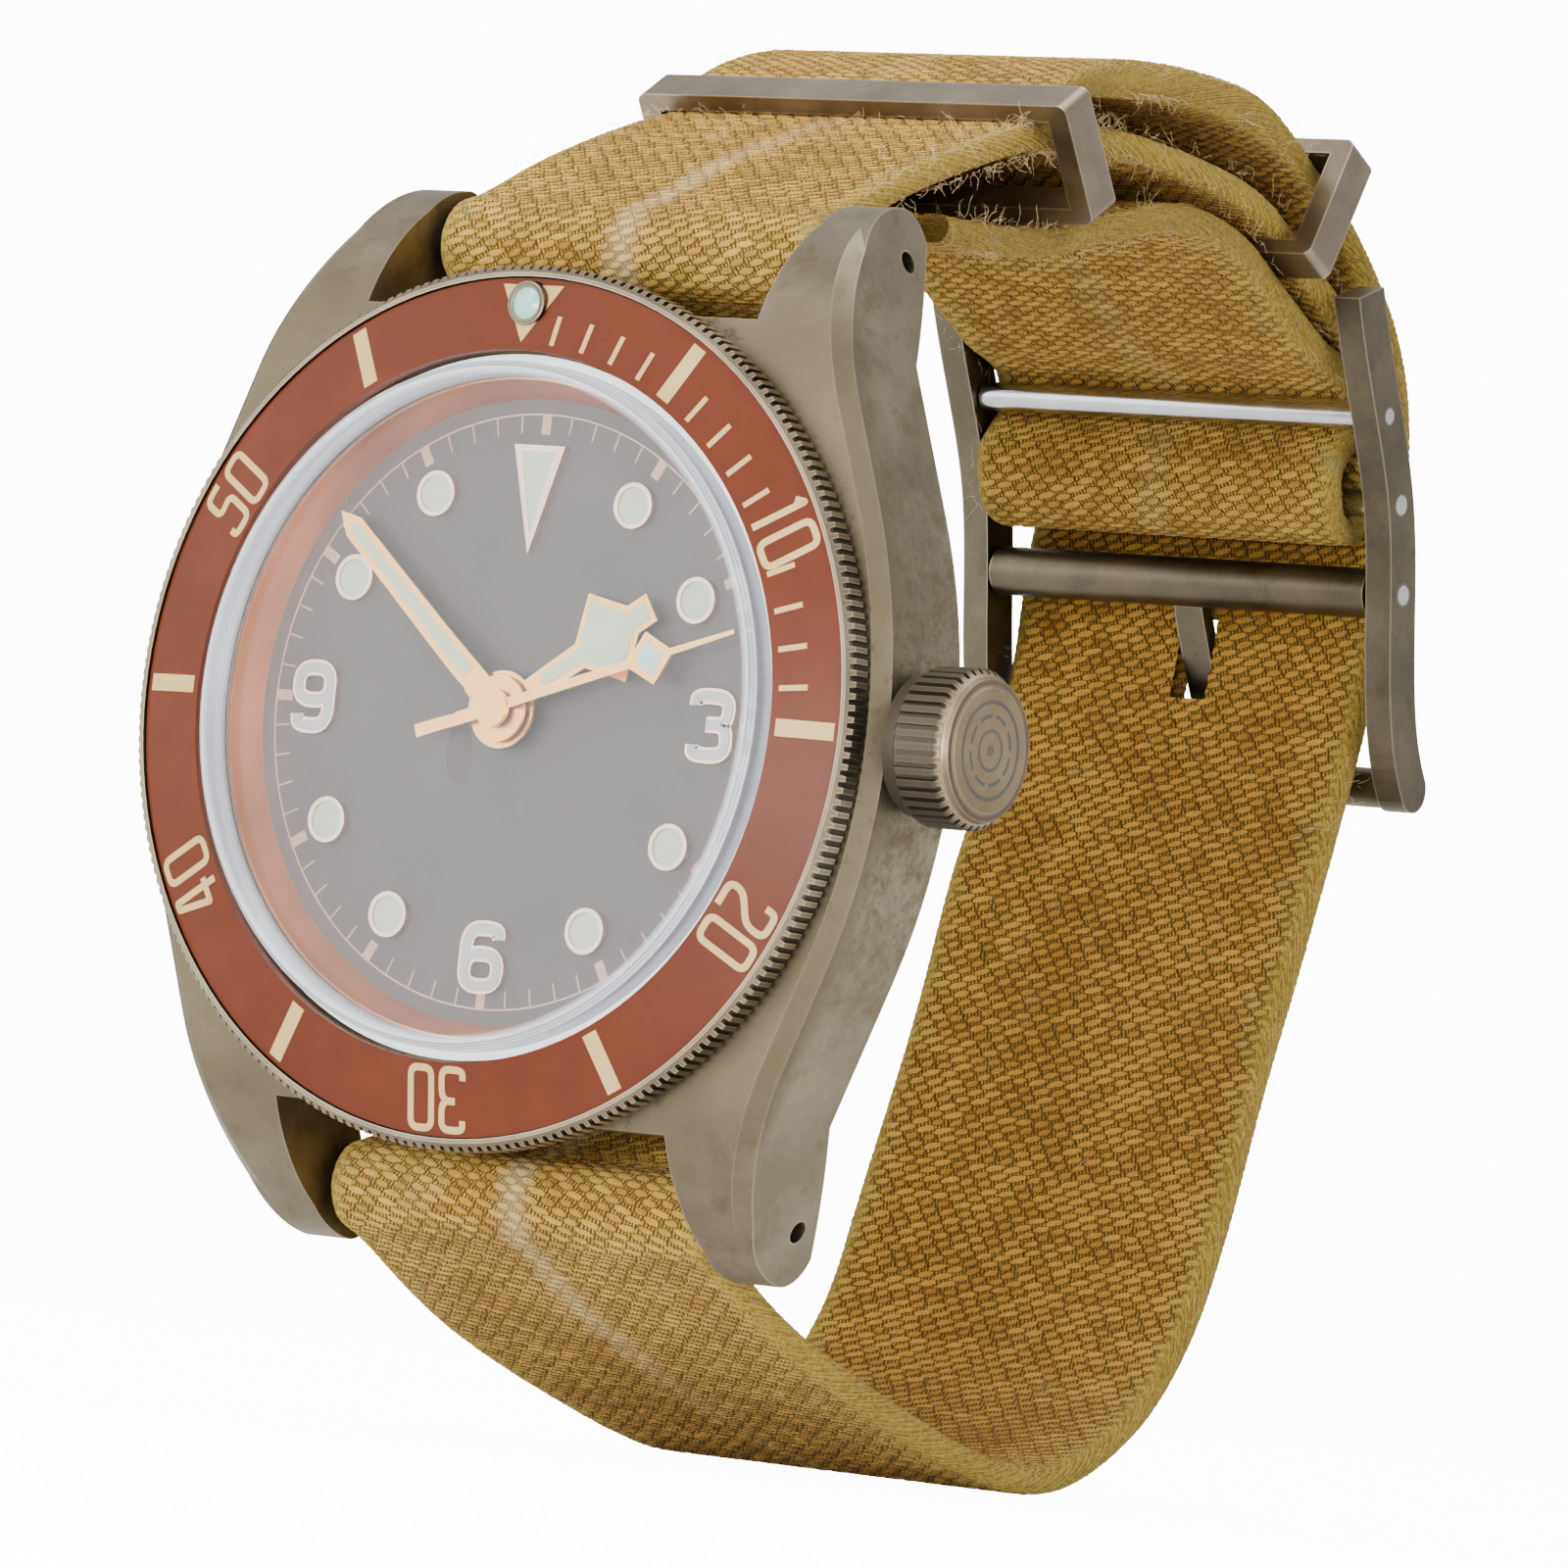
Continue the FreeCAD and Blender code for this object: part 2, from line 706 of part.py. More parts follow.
def hands():
    hour = [(0.5, 0.0), (0.63, 4.9), (2.35, 6.6), (0.72, 8.25), (0.72, 9.4)]
    minute = [(0.65, 0.0), (0.57, 12.43), (0.0, 13.54)]
    seconds = [(0.3, -4.3), (0.24, 0.0), (0.2, 7.86), (1.26, 9.05), (0.16, 10.22), (0.1, 13.85)]
    fit = 0.02
    hand("hour_hand", hour, S.hour_angle.number, S.hour_level.number, 1.75, S.hour_pipe.number + fit)
    hand(
        "minute_hand",
        minute,
        S.minute_angle.number,
        S.minute_level.number,
        1.5,
        S.cannon_outer.number + fit,
    )
    thick, level = S.hand_thick.number, S.seconds_level.number
    pointer = plate(along(mirrored_outline(seconds), S.seconds_angle.number), level, thick)
    cap = drum(0.85, level, thick + 0.08).fuse(drum(0.45, level - 0.3, 0.4))
    shape = pointer.fuse(cap).removeSplitter().cut(drum(S.seconds_arbor.number + fit, level - 1, 1.1))
    coded("seconds_hand", shape)


# ---------------------------------------------------------------- movement


def pivot_spots():
    """(x, z) of every arbor that stands between the main plate and a bridge."""
    return {
        "barrel": polar(S.barrel_distance.number, S.barrel_angle.number),
        "third": polar(S.third_distance.number, S.third_angle.number),
        "escape": polar(S.escape_distance.number, S.escape_angle.number),
        "balance": (S.balance_x.number, S.balance_z.number),
        "fork": (S.fork_x.number, S.fork_z.number),
    }


PIVOT = 0.12
PIVOT_HOLE = 0.16


def arbor(x, z, radius, low, high, pivot_low, pivot_high):
    """A staff with thin pivots past both ends of its thick part."""
    staff = drum(radius, low, high - low, x, z)
    return staff.fuse(drum(PIVOT, pivot_low, pivot_high - pivot_low, x, z))


def main_plate():
    top, floor = S.plate_top.number, S.plate_floor.number
    body = drum(S.plate_radius.number, floor, top - floor)
    body = body.cut(drum(S.motion_radius.number, top - 1.1, 2))
    body = body.cut(drum(S.centre_outer.number + 0.05, floor - 1, 4))
    body = body.cut(Part.makeBox(8.0, 2.1, 2.6, Vector(6.6, -10.6, -1.3)))
    spots = pivot_spots()
    for name in ("third", "escape", "balance", "fork"):
        body = body.cut(drum(PIVOT_HOLE, floor - 0.1, 0.7, *spots[name]))
    body = body.cut(drum(0.65, floor - 0.1, 0.8, *spots["barrel"]))
    for x, z in pillar_spots() + balance_pillars():
        body = body.fuse(drum(0.9, 6.02, floor - 6.02 + 0.1, x, z))
    body = body.fuse(drum(0.3, top - 1.2, 1.1, *polar(3.12, -145)))
    coded("main_plate", body.removeSplitter())


def pillar_spots():
    """Pillars that carry the train bridge."""
    return [polar(12.6, 25), polar(12.6, 55), polar(12.6, 158), polar(12.6, 190), polar(12.4, -12)]


def balance_pillars():
    """Pillars that carry the balance bridge."""
    return [(-8.6, -9.4), (7.4, -9.9)]


def train_bridge():
    floor, top = S.bridge_floor.number, S.bridge_top.number
    body = drum(13.9, floor, top - floor)
    body = body.cut(Part.makeBox(30, 4, 12, Vector(-15, -7, -19.6)))
    body = body.cut(drum(5.0, floor - 1, 4, S.balance_x.number, S.balance_z.number))
    body = body.cut(drum(S.centre_outer.number + 0.05, floor - 1, 4))
    spots = pivot_spots()
    body = body.cut(drum(PIVOT_HOLE, floor - 1, 4, *spots["third"]))
    body = body.cut(drum(PIVOT_HOLE, floor - 1, 4, *spots["escape"]))
    body = body.cut(drum(0.65, floor - 1, 4, *spots["barrel"]))
    coded("train_bridge", body)


def balance_bridge():
    floor, top = S.bridge_floor.number, S.bridge_top.number
    left, right = balance_pillars()
    body = bar_between(left, right, 1.2, floor, top - floor)
    hole = drum(PIVOT_HOLE, floor - 1, 4, S.balance_x.number, S.balance_z.number)
    coded("balance_bridge", body.cut(hole))


def pallet_bridge():
    fork = (S.fork_x.number, S.fork_z.number)
    ends = [(-4.7, -8.3), (1.3, -6.0)]
    body = fuse_all([bar_between(end, fork, 0.4, 7.4, 0.25) for end in ends])
    for x, z in ends:
        body = body.fuse(drum(0.4, 7.4, S.plate_floor.number - 7.4 - 0.02, x, z))
    body = body.removeSplitter().cut(drum(PIVOT_HOLE, 7.0, 1, *fork))
    coded("pallet_bridge", body)


def bridge_screws():
    """Screws through the bridges into the pillars, heads outwards."""
    heads = [drum(0.6, 4.68, 0.3, x, z) for x, z in pillar_spots() + balance_pillars()]
    coded("bridge_screws", Part.makeCompound(heads))


def barrel():
    x, z = pivot_spots()["barrel"]
    turn = mesh_turn(84, 12, S.barrel_angle.number)
    drum_part = drum(5.45, 7.5, 1.1).cut(drum(5.1, 7.75, 0.7)).cut(drum(0.66, 7, 3))
    teeth = turn_shape(gear(84, 0.14, 7.9, 0.4, hole=5.3), turn)
    shape = drum_part.fuse(teeth).removeSplitter()
    coded("barrel", shape, x=x, z=z)
    arbor_part = drum(0.6, 5.1, 4.2).fuse(drum(1.3, 7.8, 0.6)).fuse(drum(1.6, 7.44, 0.04))
    coded("barrel_arbor", arbor_part, x, 0, z)
    coded("mainspring", mainspring(), x, 0, z)


def mainspring():
    """A wound spring drawn as a flat spiral strip."""
    inner, outer, turns, thick = 1.45, 4.95, 6, 0.14
    steps = turns * 36
    middle = []
    for step in range(steps + 1):
        share = step / steps
        middle.append((inner + (outer - inner) * share, share * turns * 360))
    out = [polar(radius + thick / 2, angle) for radius, angle in middle]
    back = [polar(radius - thick / 2, angle) for radius, angle in reversed(middle)]
    return plate(out + back, 7.82, 0.56)


def centre_wheel():
    pinion = gear(12, 0.14, 7.6, 1.0)
    wheel = spoked(gear(64, 0.15, 7.1, 0.25), 64, 0.15, 7.1, 0.25)
    staff = drum(S.centre_outer.number, 6.92, 4.58)
    bore = drum(S.centre_bore.number, 4, 10)
    coded("centre_wheel", fuse_all([pinion, wheel, staff]).cut(bore))


def third_wheel():
    x, z = pivot_spots()["third"]
    direction = S.third_angle.number
    pinion = turn_shape(gear(8, 0.15, 6.95, 0.5), mesh_turn(8, 64, direction))
    module = 0.3176 / 2
    wheel = spoked(gear(60, module, 6.55, 0.2), 60, module, 6.55, 0.2)
    wheel = turn_shape(wheel, mesh_turn(60, 8, direction))
    shape = fuse_all([pinion, wheel, arbor(0, 0, 0.3, 6.1, 8.6, 5.2, 9.1)])
    coded("third_wheel", shape, x=x, z=z)


def fourth_wheel():
    pinion = gear(8, 0.3176 / 2, 6.33, 0.5)
    wheel = spoked(gear(84, 0.12, 6.08, 0.22), 84, 0.12, 6.08, 0.22)
    staff = drum(S.seconds_arbor.number, 5.2, S.seconds_level.number + 0.05 - 5.2)
    coded("fourth_wheel", fuse_all([pinion, wheel, staff]).cut(drum(0.1, 4, 0.5)))


def escape_wheel():
    x, z = pivot_spots()["escape"]
    pinion = turn_shape(gear(7, 0.12, 6.03, 0.45), mesh_turn(7, 84, S.escape_angle.number))
    points = []
    for tooth in range(20):
        start = tooth * 18
        points += [polar(1.75, start), polar(2.3, start + 7), polar(2.3, start + 9)]
        points.append(polar(1.75, start + 8))
    wheel = plate(points, 7.95, 0.2)
    wheel = spoked_disc(wheel, 1.5, 0.5, 7.95)
    coded("escape_wheel", fuse_all([pinion, wheel, arbor(0, 0, 0.25, 6.1, 8.6, 5.2, 9.1)]), x=x, z=z)


def spoked_disc(wheel, rim, hub, level):
    """Opens four windows in a thin wheel."""
    window = drum(rim, level - 1, 3).cut(drum(hub, level - 2, 5))
    for degrees in (0, 90):
        strip = Part.makeBox(2 * rim, 5, 0.36, Vector(-rim, -level - 3, -0.18))
        window = window.cut(turn_shape(strip, degrees))
    return wheel.cut(window)


def pallet_fork():
    """Lever with two stones at the escape wheel and horns at the balance."""
    spots = pivot_spots()
    fork, wheel, balance = spots["fork"], spots["escape"], spots["balance"]
    out = (wheel[0] - fork[0], wheel[1] - fork[1])
    reach = math.hypot(*out)
    out = (out[0] / reach, out[1] / reach)
    side = (-out[1], out[0])
    level, thick = 7.95, 0.2
    pieces = []
    for sign in (-1, 1):
        elbow = (0.55 * out[0] + sign * 1.75 * side[0], 0.55 * out[1] + sign * 1.75 * side[1])
        tip = (1.25 * out[0] + sign * 1.95 * side[0], 1.25 * out[1] + sign * 1.95 * side[1])
        pieces.append(bar_between((0, 0), elbow, 0.16, level, thick))
        pieces.append(bar_between(elbow, tip, 0.16, level, thick))
    aim = (balance[0] - fork[0], balance[1] - fork[1])
    length = math.hypot(*aim)
    aim = (aim[0] / length, aim[1] / length)
    across = (-aim[1], aim[0])
    end = (2.6 * aim[0], 2.6 * aim[1])
    pieces.append(bar_between((0, 0), end, 0.14, level, thick))
    for sign in (-1, 1):
        foot = (2.55 * aim[0] + sign * 0.26 * across[0], 2.55 * aim[1] + sign * 0.26 * across[1])
        horn = (3.05 * aim[0] + sign * 0.26 * across[0], 3.05 * aim[1] + sign * 0.26 * across[1])
        pieces.append(bar_between(foot, horn, 0.1, level, thick))
        pieces.append(bar_between(end, foot, 0.1, level, thick))
    pieces.append(arbor(0, 0, 0.25, 7.7, 8.6, 7.42, 9.1))
    coded("pallet_fork", fuse_all(pieces), x=fork[0], z=fork[1])


def balance_wheel():
    x, z = pivot_spots()["balance"]
    spots = pivot_spots()
    rim = drum(S.balance_radius.number, 6.9, 0.4).cut(drum(S.balance_radius.number - 0.5, 6, 2))
    arm = Part.makeBox(7.2, 0.2, 0.6, Vector(-3.6, -7.2, -0.3))
    staff = arbor(0, 0, 0.25, 6.05, 8.6, 5.2, 9.1)
    table = drum(0.75, 8.3, 0.2)
    toward = (spots["fork"][0] - x, spots["fork"][1] - z)
    length = math.hypot(*toward)
    pin = drum(0.1, 7.9, 0.5, 0.5 * toward[0] / length, 0.5 * toward[1] / length)
    coded("balance_wheel", fuse_all([rim, arm, staff, table, pin]), x=x, z=z)
    inner, outer, turns = 0.32, 2.6, 9
    steps = turns * 30
    line = []
    for step in range(steps + 1):
        share = step / steps
        line.append((inner + (outer - inner) * share, share * turns * 360))
    out = [polar(radius + 0.03, angle) for radius, angle in line]
    back = [polar(radius - 0.03, angle) for radius, angle in reversed(line)]
    spring = plate(out + back, 6.3, 0.15).fuse(drum(0.16, 6.02, 0.4, outer, 0))
    coded("hairspring", spring, x=x, z=z)


def motion_work():
    pinion = gear(12, 0.13, 9.85, 0.35)
    tube = drum(S.cannon_outer.number, 9.85, S.minute_level.number + 0.16 - 9.85)
    bore = drum(S.cannon_bore.number, 9, 6)
    coded("cannon_pinion", pinion.fuse(tube).removeSplitter().cut(bore))
    direction = -145
    x, z = polar(3.12, direction)
    wheel = turn_shape(gear(36, 0.13, 9.93, 0.2), mesh_turn(36, 12, direction))
    small = turn_shape(gear(10, 0.1248, 10.1, 0.55), 0)
    coded("minute_wheel", wheel.fuse(small).removeSplitter().cut(drum(0.34, 9, 4)), x=x, z=z)
    hour = turn_shape(gear(40, 0.1248, 10.35, 0.25), mesh_turn(40, 10, direction + 180))
    pipe = drum(S.hour_pipe.number, 10.35, S.hour_level.number + 0.14 - 10.35)
    shape = hour.fuse(pipe).removeSplitter().cut(drum(S.hour_bore.number, 9, 6))
    coded("hour_wheel", shape)


def rotor():
    """Half-disc winding weight on its bearing."""
    top, low = S.rotor_top.number, S.rotor_low.number
    outer = S.rotor_radius.number
    disc = drum(outer, top - 0.4, 0.4).fuse(drum(outer, low, top - low).cut(drum(11.7, low - 1, 4)))
    disc = disc.cut(Part.makeBox(40, 5, 20, Vector(-20, -6, 0.8)))
    hub = drum(3.1, top - 0.4, 0.4)
    shape = disc.fuse(hub).removeSplitter().cut(drum(2.26, low - 1, 4))
    coded("rotor", shape)
    turned("rotor_bearing", [(0, 3.9), (2.2, 3.9), (2.2, 4.7), (1.2, 4.7), (1.2, 4.98), (0, 4.98)])


def movement_ring():
    body = turned(
        "movement_ring",
        [(14.3, 7.55), (15.86, 7.55), (15.86, S.dial_face - 0.42), (14.3, S.dial_face - 0.42)],
    )
    add_cut(body, "YZ_Plane", 12, 6, lambda k: circle(k, S.stem_radius + 0.15, -S.crown_level, 0))


# ---------------------------------------------------------------- crown


def crown_parts():
    level = S.crown_level
    tube = S.tube_outer
    turned_along_x(
        "crown_tube",
        [(16.25, S.tube_bore), (16.25, tube), (22.0, tube), (22.0, S.tube_bore)],
        level,
    )
    turned_along_x(
        "winding_stem",
        [
            (6.9, 0),
            (6.9, 0.45),
            (9.0, 0.45),
            (9.0, S.stem_radius),
            (23.85, S.stem_radius),
            (23.85, 0),
        ],
        level,
    )
    turned_along_x(
        "winding_pinion",
        [(9.3, 0.64), (9.3, 0.85), (11.4, 0.85), (11.4, 0.64)],
        level,
    )
    turned_along_x(
        "crown_gasket",
        [(22.3, 1.25), (22.3, 1.85), (22.9, 1.85), (22.9, 1.25)],
        level,
    )
    crown(level)


def crown(level):
    """Grooved crown with a stepped face and a socket that goes over the tube."""
    base, face, outer = S.crown_base.number, S.crown_face.number, S.crown_radius.number
    section = [
        (base - 0.65, 2.05),
        (base - 0.65, 3.3),
        (base, 3.35),
        (base + 0.3, outer),
        (face - 0.75, outer),
        (face - 0.4, outer - 0.35),
        (face - 0.1, outer - 0.45),
        (face - 0.1, 2.95),
        (face, 2.85),
        (face, 0.0),
        (face - 1.3, 0.0),
        (face - 1.3, 0.61),
        (23.4, 0.61),
        (23.4, 2.05),
    ]
    wire = Part.makePolygon([Vector(x, r, 0) for x, r in section + section[:1]])
    blank = Part.Face(wire).revolve(Vector(0, 0, 0), Vector(1, 0, 0), 360)
    grooves = int(S.crown_grooves.number)
    cutters = []
    for groove in range(grooves):
        cutter = Part.makeBox(face - base - 0.15, 0.6, 0.26, Vector(base + 0.1, outer - 0.27, -0.13))
        cutter.rotate(Vector(0, 0, 0), Vector(1, 0, 0), groove * 360 / grooves)
        cutters.append(cutter)
    shape = blank.cut(Part.makeCompound(cutters))
    coded("crown", shape, level=level.number)


# ---------------------------------------------------------------- strap, bars, buckle, keepers


def smooth_line(points):
    """A spline through (Y, Z) points."""
    line = Part.BSplineCurve()
    line.interpolate([Vector(0, y, z) for y, z in points])
    return line


def ribbon(points, thick, half, spacing=0.8):
    """A strip of constant thickness along a smooth line through (Y, Z) points."""
    line = smooth_line(points)
    count = max(8, int(line.length() / spacing))
    sides = [[], []]
    for step in range(count + 1):
        place = line.parameterAtDistance(line.length() * step / count)
        middle = line.value(place)
        run = line.tangent(place)[0]
        normal = Vector(0, -run.z, run.y)
        sides[0].append(middle + normal * (thick / 2))
        sides[1].append(middle - normal * (thick / 2))
    corners = sides[0] + sides[1][::-1]
    face = Part.Face(Part.makePolygon(corners + corners[:1]))
    face.translate(Vector(-half, 0, 0))
    return face.extrude(Vector(2 * half, 0, 0))


STRAP_CENTRE = [(-6.4, -20.85), (-5.6, -20.85), (-3.4, -20.15), (-1.9, -18.2), (-1.0, -15.4),
                (-0.65, -12.0), (-0.65, -6.0), (-0.65, 0.0), (-0.65, 6.0), (-0.65, 12.0), (-1.0, 15.4),
                (-1.9, 18.2), (-3.4, 20.15), (-5.6, 20.85), (-6.4, 20.85)]
STRAP_UPPER = [(-5.6, 20.85), (-6.77, 21.33), (-7.25, 22.5), (-6.77, 23.67), (-5.6, 24.2), (-4.1, 24.95),
               (-2.0, 26.1), (1.0, 27.5), (4.4, 28.9), (7.5, 30.05), (9.3, 30.6), (12.0, 31.0),
               (14.5, 31.25), (17.5, 31.5), (21.0, 31.4), (24.9, 31.15), (28.2, 30.75), (30.5, 30.15),
               (32.4, 29.24), (34.3, 28.2), (36.4, 27.05), (38.8, 25.6), (40.7, 24.2), (41.85, 22.7), (42.35, 21.0),
               (42.6, 19.2), (42.72, 17.4), (42.3, 16.25), (41.2, 15.7), (40.05, 16.15), (39.45, 17.4),
               (39.3, 18.6), (39.9, 19.6), (40.6, 20.6), (40.6, 21.9), (39.9, 23.0), (38.5, 23.65),
               (36.8, 24.1), (34.7, 25.07), (33.0, 25.97), (31.1, 27.0), (29.2, 27.95), (26.8, 28.6),
               (24.0, 28.85), (21.5, 28.6), (18.8, 27.9), (15.5, 26.95), (12.0, 25.95), (8.5, 25.5),
               (5.5, 25.3), (2.8, 25.2)]
STRAP_LOWER = [(-5.6, -20.85), (-6.77, -21.33), (-7.25, -22.5), (-6.77, -23.67), (-5.6, -24.2),
               (-4.1, -24.95), (-1.8, -26.2), (1.2, -27.6), (6.2, -29.4), (11.5, -31.0), (16.6, -32.3),
               (20.3, -32.9), (24.3, -32.7), (28.0, -31.3), (31.8, -28.6), (34.3, -25.0), (35.9, -21.0),
               (37.4, -16.5), (38.7, -12.0), (39.8, -8.0), (41.1, -3.5), (42.3, 0.0), (43.6, 4.2),
               (44.4, 8.5), (44.75, 12.8), (45.3, 16.6), (45.3, 20.2), (44.6, 22.9), (43.1, 25.4),
               (40.8, 27.8), (38.5, 29.75), (36.4, 31.3), (34.35, 32.4), (32.0, 33.65), (28.4, 34.8),
               (23.4, 35.1), (18.6, 34.85), (16.0, 34.5), (14.0, 34.05), (12.3, 33.35), (11.0, 32.6)]


def straps():
    """The strap in three lengths that meet at the lug bars."""
    half, thick = S.strap_half.number, S.strap_thick.number
    joint = -S.bar_level.number
    front = Part.makeBox(30, 5, 60, Vector(-15, joint - 5, -30))
    behind_upper = Part.makeBox(30, 2, 3, Vector(-15, joint, 19))
    behind_lower = Part.makeBox(30, 2, 3, Vector(-15, joint, -22))
    wrist = Part.makeBox(30, 5, 60, Vector(-15, 0, -30))
    coded("strap_centre", ribbon(STRAP_CENTRE, thick, half).cut(front).cut(wrist))
    coded("strap_upper", ribbon(STRAP_UPPER, thick, half).cut(behind_upper))
    lower = ribbon(STRAP_LOWER, thick, half).cut(behind_lower)
    slot = Part.makeBox(2.3, 3.4, 5.0, Vector(S.hardware_shift.number - 1.15, 43.0, 6.6))
    coded("strap_lower", lower.cut(slot))


def lug_bars():
    """A bar across each pair of lugs, hollow at its ends for the sprung tips."""
    reach = S.lug_inner.number - 0.15
    tip = S.tip_radius.number
    for label, z in (("lug_bar_upper", S.bar_z.number), ("lug_bar_lower", -S.bar_z.number)):
        bar = Part.makeCylinder(S.bar_radius.number, 2 * reach, Vector(-reach, 0, 0), Vector(1, 0, 0))
        depth = 1.7 + S.tip_travel.number
        for start in (-reach - 0.1, reach - depth):
            bore = Part.makeCylinder(tip + 0.15, depth + 0.1, Vector(start, 0, 0), Vector(1, 0, 0))
            bar = bar.cut(bore)
        coded(label, bar, level=S.bar_level.number, z=z)
        for side, name in ((1, "right"), (-1, "left")):
            pin = Part.makeCylinder(tip, 3.4, Vector(reach - 1.6, 0, 0), Vector(1, 0, 0))
            collar = Part.makeCylinder(tip + 0.1, 0.6, Vector(reach - 1.6, 0, 0), Vector(1, 0, 0))
            shape = pin.fuse(collar).removeSplitter()
            if side < 0:
                shape = shape.mirror(Vector(0, 0, 0), Vector(1, 0, 0))
            coded(f"{label}_tip_{name}", shape, level=S.bar_level.number, z=z)


BUCKLE_BARS = {"spring": (39.2, 21.4), "fixed": (41.2, 17.2), "hinge": (42.3, 12.8)}
BUCKLE_END = (45.3, 3.3)
ARM_LINE = [(36.3, 27.2), (39.2, 21.4), (41.2, 17.2), (42.3, 12.8), (43.1, 8.6), (44.0, 5.6), BUCKLE_END]


def rod(x0, x1, radius, y, z):
    """A cylinder along X."""
    return Part.makeCylinder(radius, x1 - x0, Vector(x0, y, z), Vector(1, 0, 0))


def buckle_frame():
    inner, outer = S.arm_inner.number, S.arm_outer.number
    arm = ribbon(ARM_LINE, 2 * S.arm_half.number, (outer - inner) / 2)
    arm = arm.fuse(rod(-(outer - inner) / 2, (outer - inner) / 2, S.arm_half.number, *BUCKLE_END))
    shift = (inner + outer) / 2
    left, right = arm.copy(), arm.copy()
    left.translate(Vector(-shift, 0, 0))
    right.translate(Vector(shift, 0, 0))
    frame = fuse_all([left, right, rod(-outer, outer, 1.0, *BUCKLE_END)])
    for name, radius in (("spring", 0.4), ("fixed", 0.5), ("hinge", 0.55)):
        frame = frame.cut(rod(-20, 20, radius, *BUCKLE_BARS[name]))
    coded("buckle_frame", frame, x=S.hardware_shift.number)


def buckle_bars():
    inner, outer = S.arm_inner.number, S.arm_outer.number
    shift = S.hardware_shift.number
    y, z = BUCKLE_BARS["spring"]
    spring_bar = rod(-inner + 0.1, inner - 0.1, 0.75, y, z).fuse(rod(-outer, outer, 0.38, y, z))
    coded("buckle_spring_bar", spring_bar, x=shift)
    y, z = BUCKLE_BARS["fixed"]
    fixed_bar = rod(-inner + 0.1, inner - 0.1, 0.7, y, z).fuse(rod(-outer, outer, 0.48, y, z))
    coded("buckle_fixed_bar", fixed_bar, x=shift)
    coded("buckle_pin", rod(-outer, outer, 0.5, *BUCKLE_BARS["hinge"]), x=shift)


def buckle_tongue():
    """Roller with the tongue fixed on it, turning on the hinge pin."""
    y, z = BUCKLE_BARS["hinge"]
    roller = rod(-11.3, 11.3, 1.25, y, z)
    line = [(42.9, 12.0), (44.3, 9.4), (45.6, 7.2), (46.7, 5.2), (47.05, 3.2), (47.1, 1.4)]
    tongue = ribbon(line, 0.85, 0.85)
    shape = roller.fuse(tongue).removeSplitter().cut(rod(-12, 12, 0.56, y, z))
    coded("buckle_roller", shape, x=S.hardware_shift.number)


def keeper(label, height, y, z, tilt):
    """A rectangular loop round the strap, its height tilted from +Z towards -Y."""
    inner, outer = S.arm_inner.number, S.keeper_outer.number
    depth, bar = S.keeper_depth.number, S.keeper_bar.number
    block = Part.makeBox(2 * outer, depth, height, Vector(-outer, -depth / 2, -height / 2))
    long_edges = [e for e in block.Edges if e.BoundBox.YLength > 1 and e.BoundBox.XLength < 0.1]
    block = block.makeFillet(0.5, long_edges)
    corner = Vector(-inner, -depth / 2 - 1, bar - height / 2)
    hole = Part.makeBox(2 * inner, depth + 2, height - 2 * bar, corner)
    loop = block.cut(hole)
    loop.rotate(Vector(0, 0, 0), Vector(1, 0, 0), tilt)
    loop.translate(Vector(0, y, z))
    coded(label, loop, x=S.hardware_shift.number)


# ---------------------------------------------------------------- build, check and write


def check_parts():
    """Stops if a feature is in error or a part is not one valid shape."""
    for item in doc.Objects:
        if "Invalid" in item.State or "Error" in item.State:
            raise RuntimeError(f"{item.Label}: {item.State}")
    for before, cut in CUTS:
        if cut.Shape.Volume >= before.Shape.Volume:
            raise RuntimeError(f"{cut.Label} removes nothing")
    for part in PARTS:
        if part.Shape.isNull() or not part.Shape.isValid():
            raise RuntimeError(f"{part.Label} is not a valid shape")
        print(part.Label, round(part.Shape.Volume, 3), len(part.Shape.Solids))


case_middle()
case_back()
turned("case_back_gasket", [(16.15, 6.38), (16.9, 6.38), (16.9, 6.57), (16.15, 6.57)])
bezel_ring()
bezel_click_spring()
bezel_insert()
bezel_pearl()
crystal()
rehaut_and_dial()
hour_markers()
hands()
main_plate()
movement_ring()
train_bridge()
balance_bridge()
pallet_bridge()
bridge_screws()
barrel()
centre_wheel()
third_wheel()
fourth_wheel()
escape_wheel()
pallet_fork()
balance_wheel()
motion_work()
rotor()
crown_parts()
straps()
lug_bars()
buckle_frame()
buckle_bars()
buckle_tongue()
keeper("keeper_front", S.front_keeper_height.number, 10.85, 30.0, 34.9)
keeper("keeper_rear", S.rear_keeper_height.number, 33.24, 30.87, -26.5)
doc.recompute()
check_parts()
os.makedirs("parts", exist_ok=True)
for part in PARTS:
    part.Shape.exportStep(f"parts/{part.Label}.step")
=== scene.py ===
import json
import math
import random

import bpy
import numpy as np
from mathutils import Matrix, Vector


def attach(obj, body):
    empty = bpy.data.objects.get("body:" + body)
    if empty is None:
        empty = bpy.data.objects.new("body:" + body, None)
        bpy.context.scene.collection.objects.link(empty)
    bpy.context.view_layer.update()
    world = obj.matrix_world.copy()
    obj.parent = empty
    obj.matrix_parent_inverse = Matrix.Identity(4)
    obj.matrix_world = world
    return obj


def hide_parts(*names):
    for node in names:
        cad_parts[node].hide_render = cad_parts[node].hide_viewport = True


# Looks of the dive watch. Sizes are written in millimetres, and MM turns them into the frame's metres.
# A "level" is a height above the strap's wrist face, so Y = -level. Clock angles run clockwise from 12.

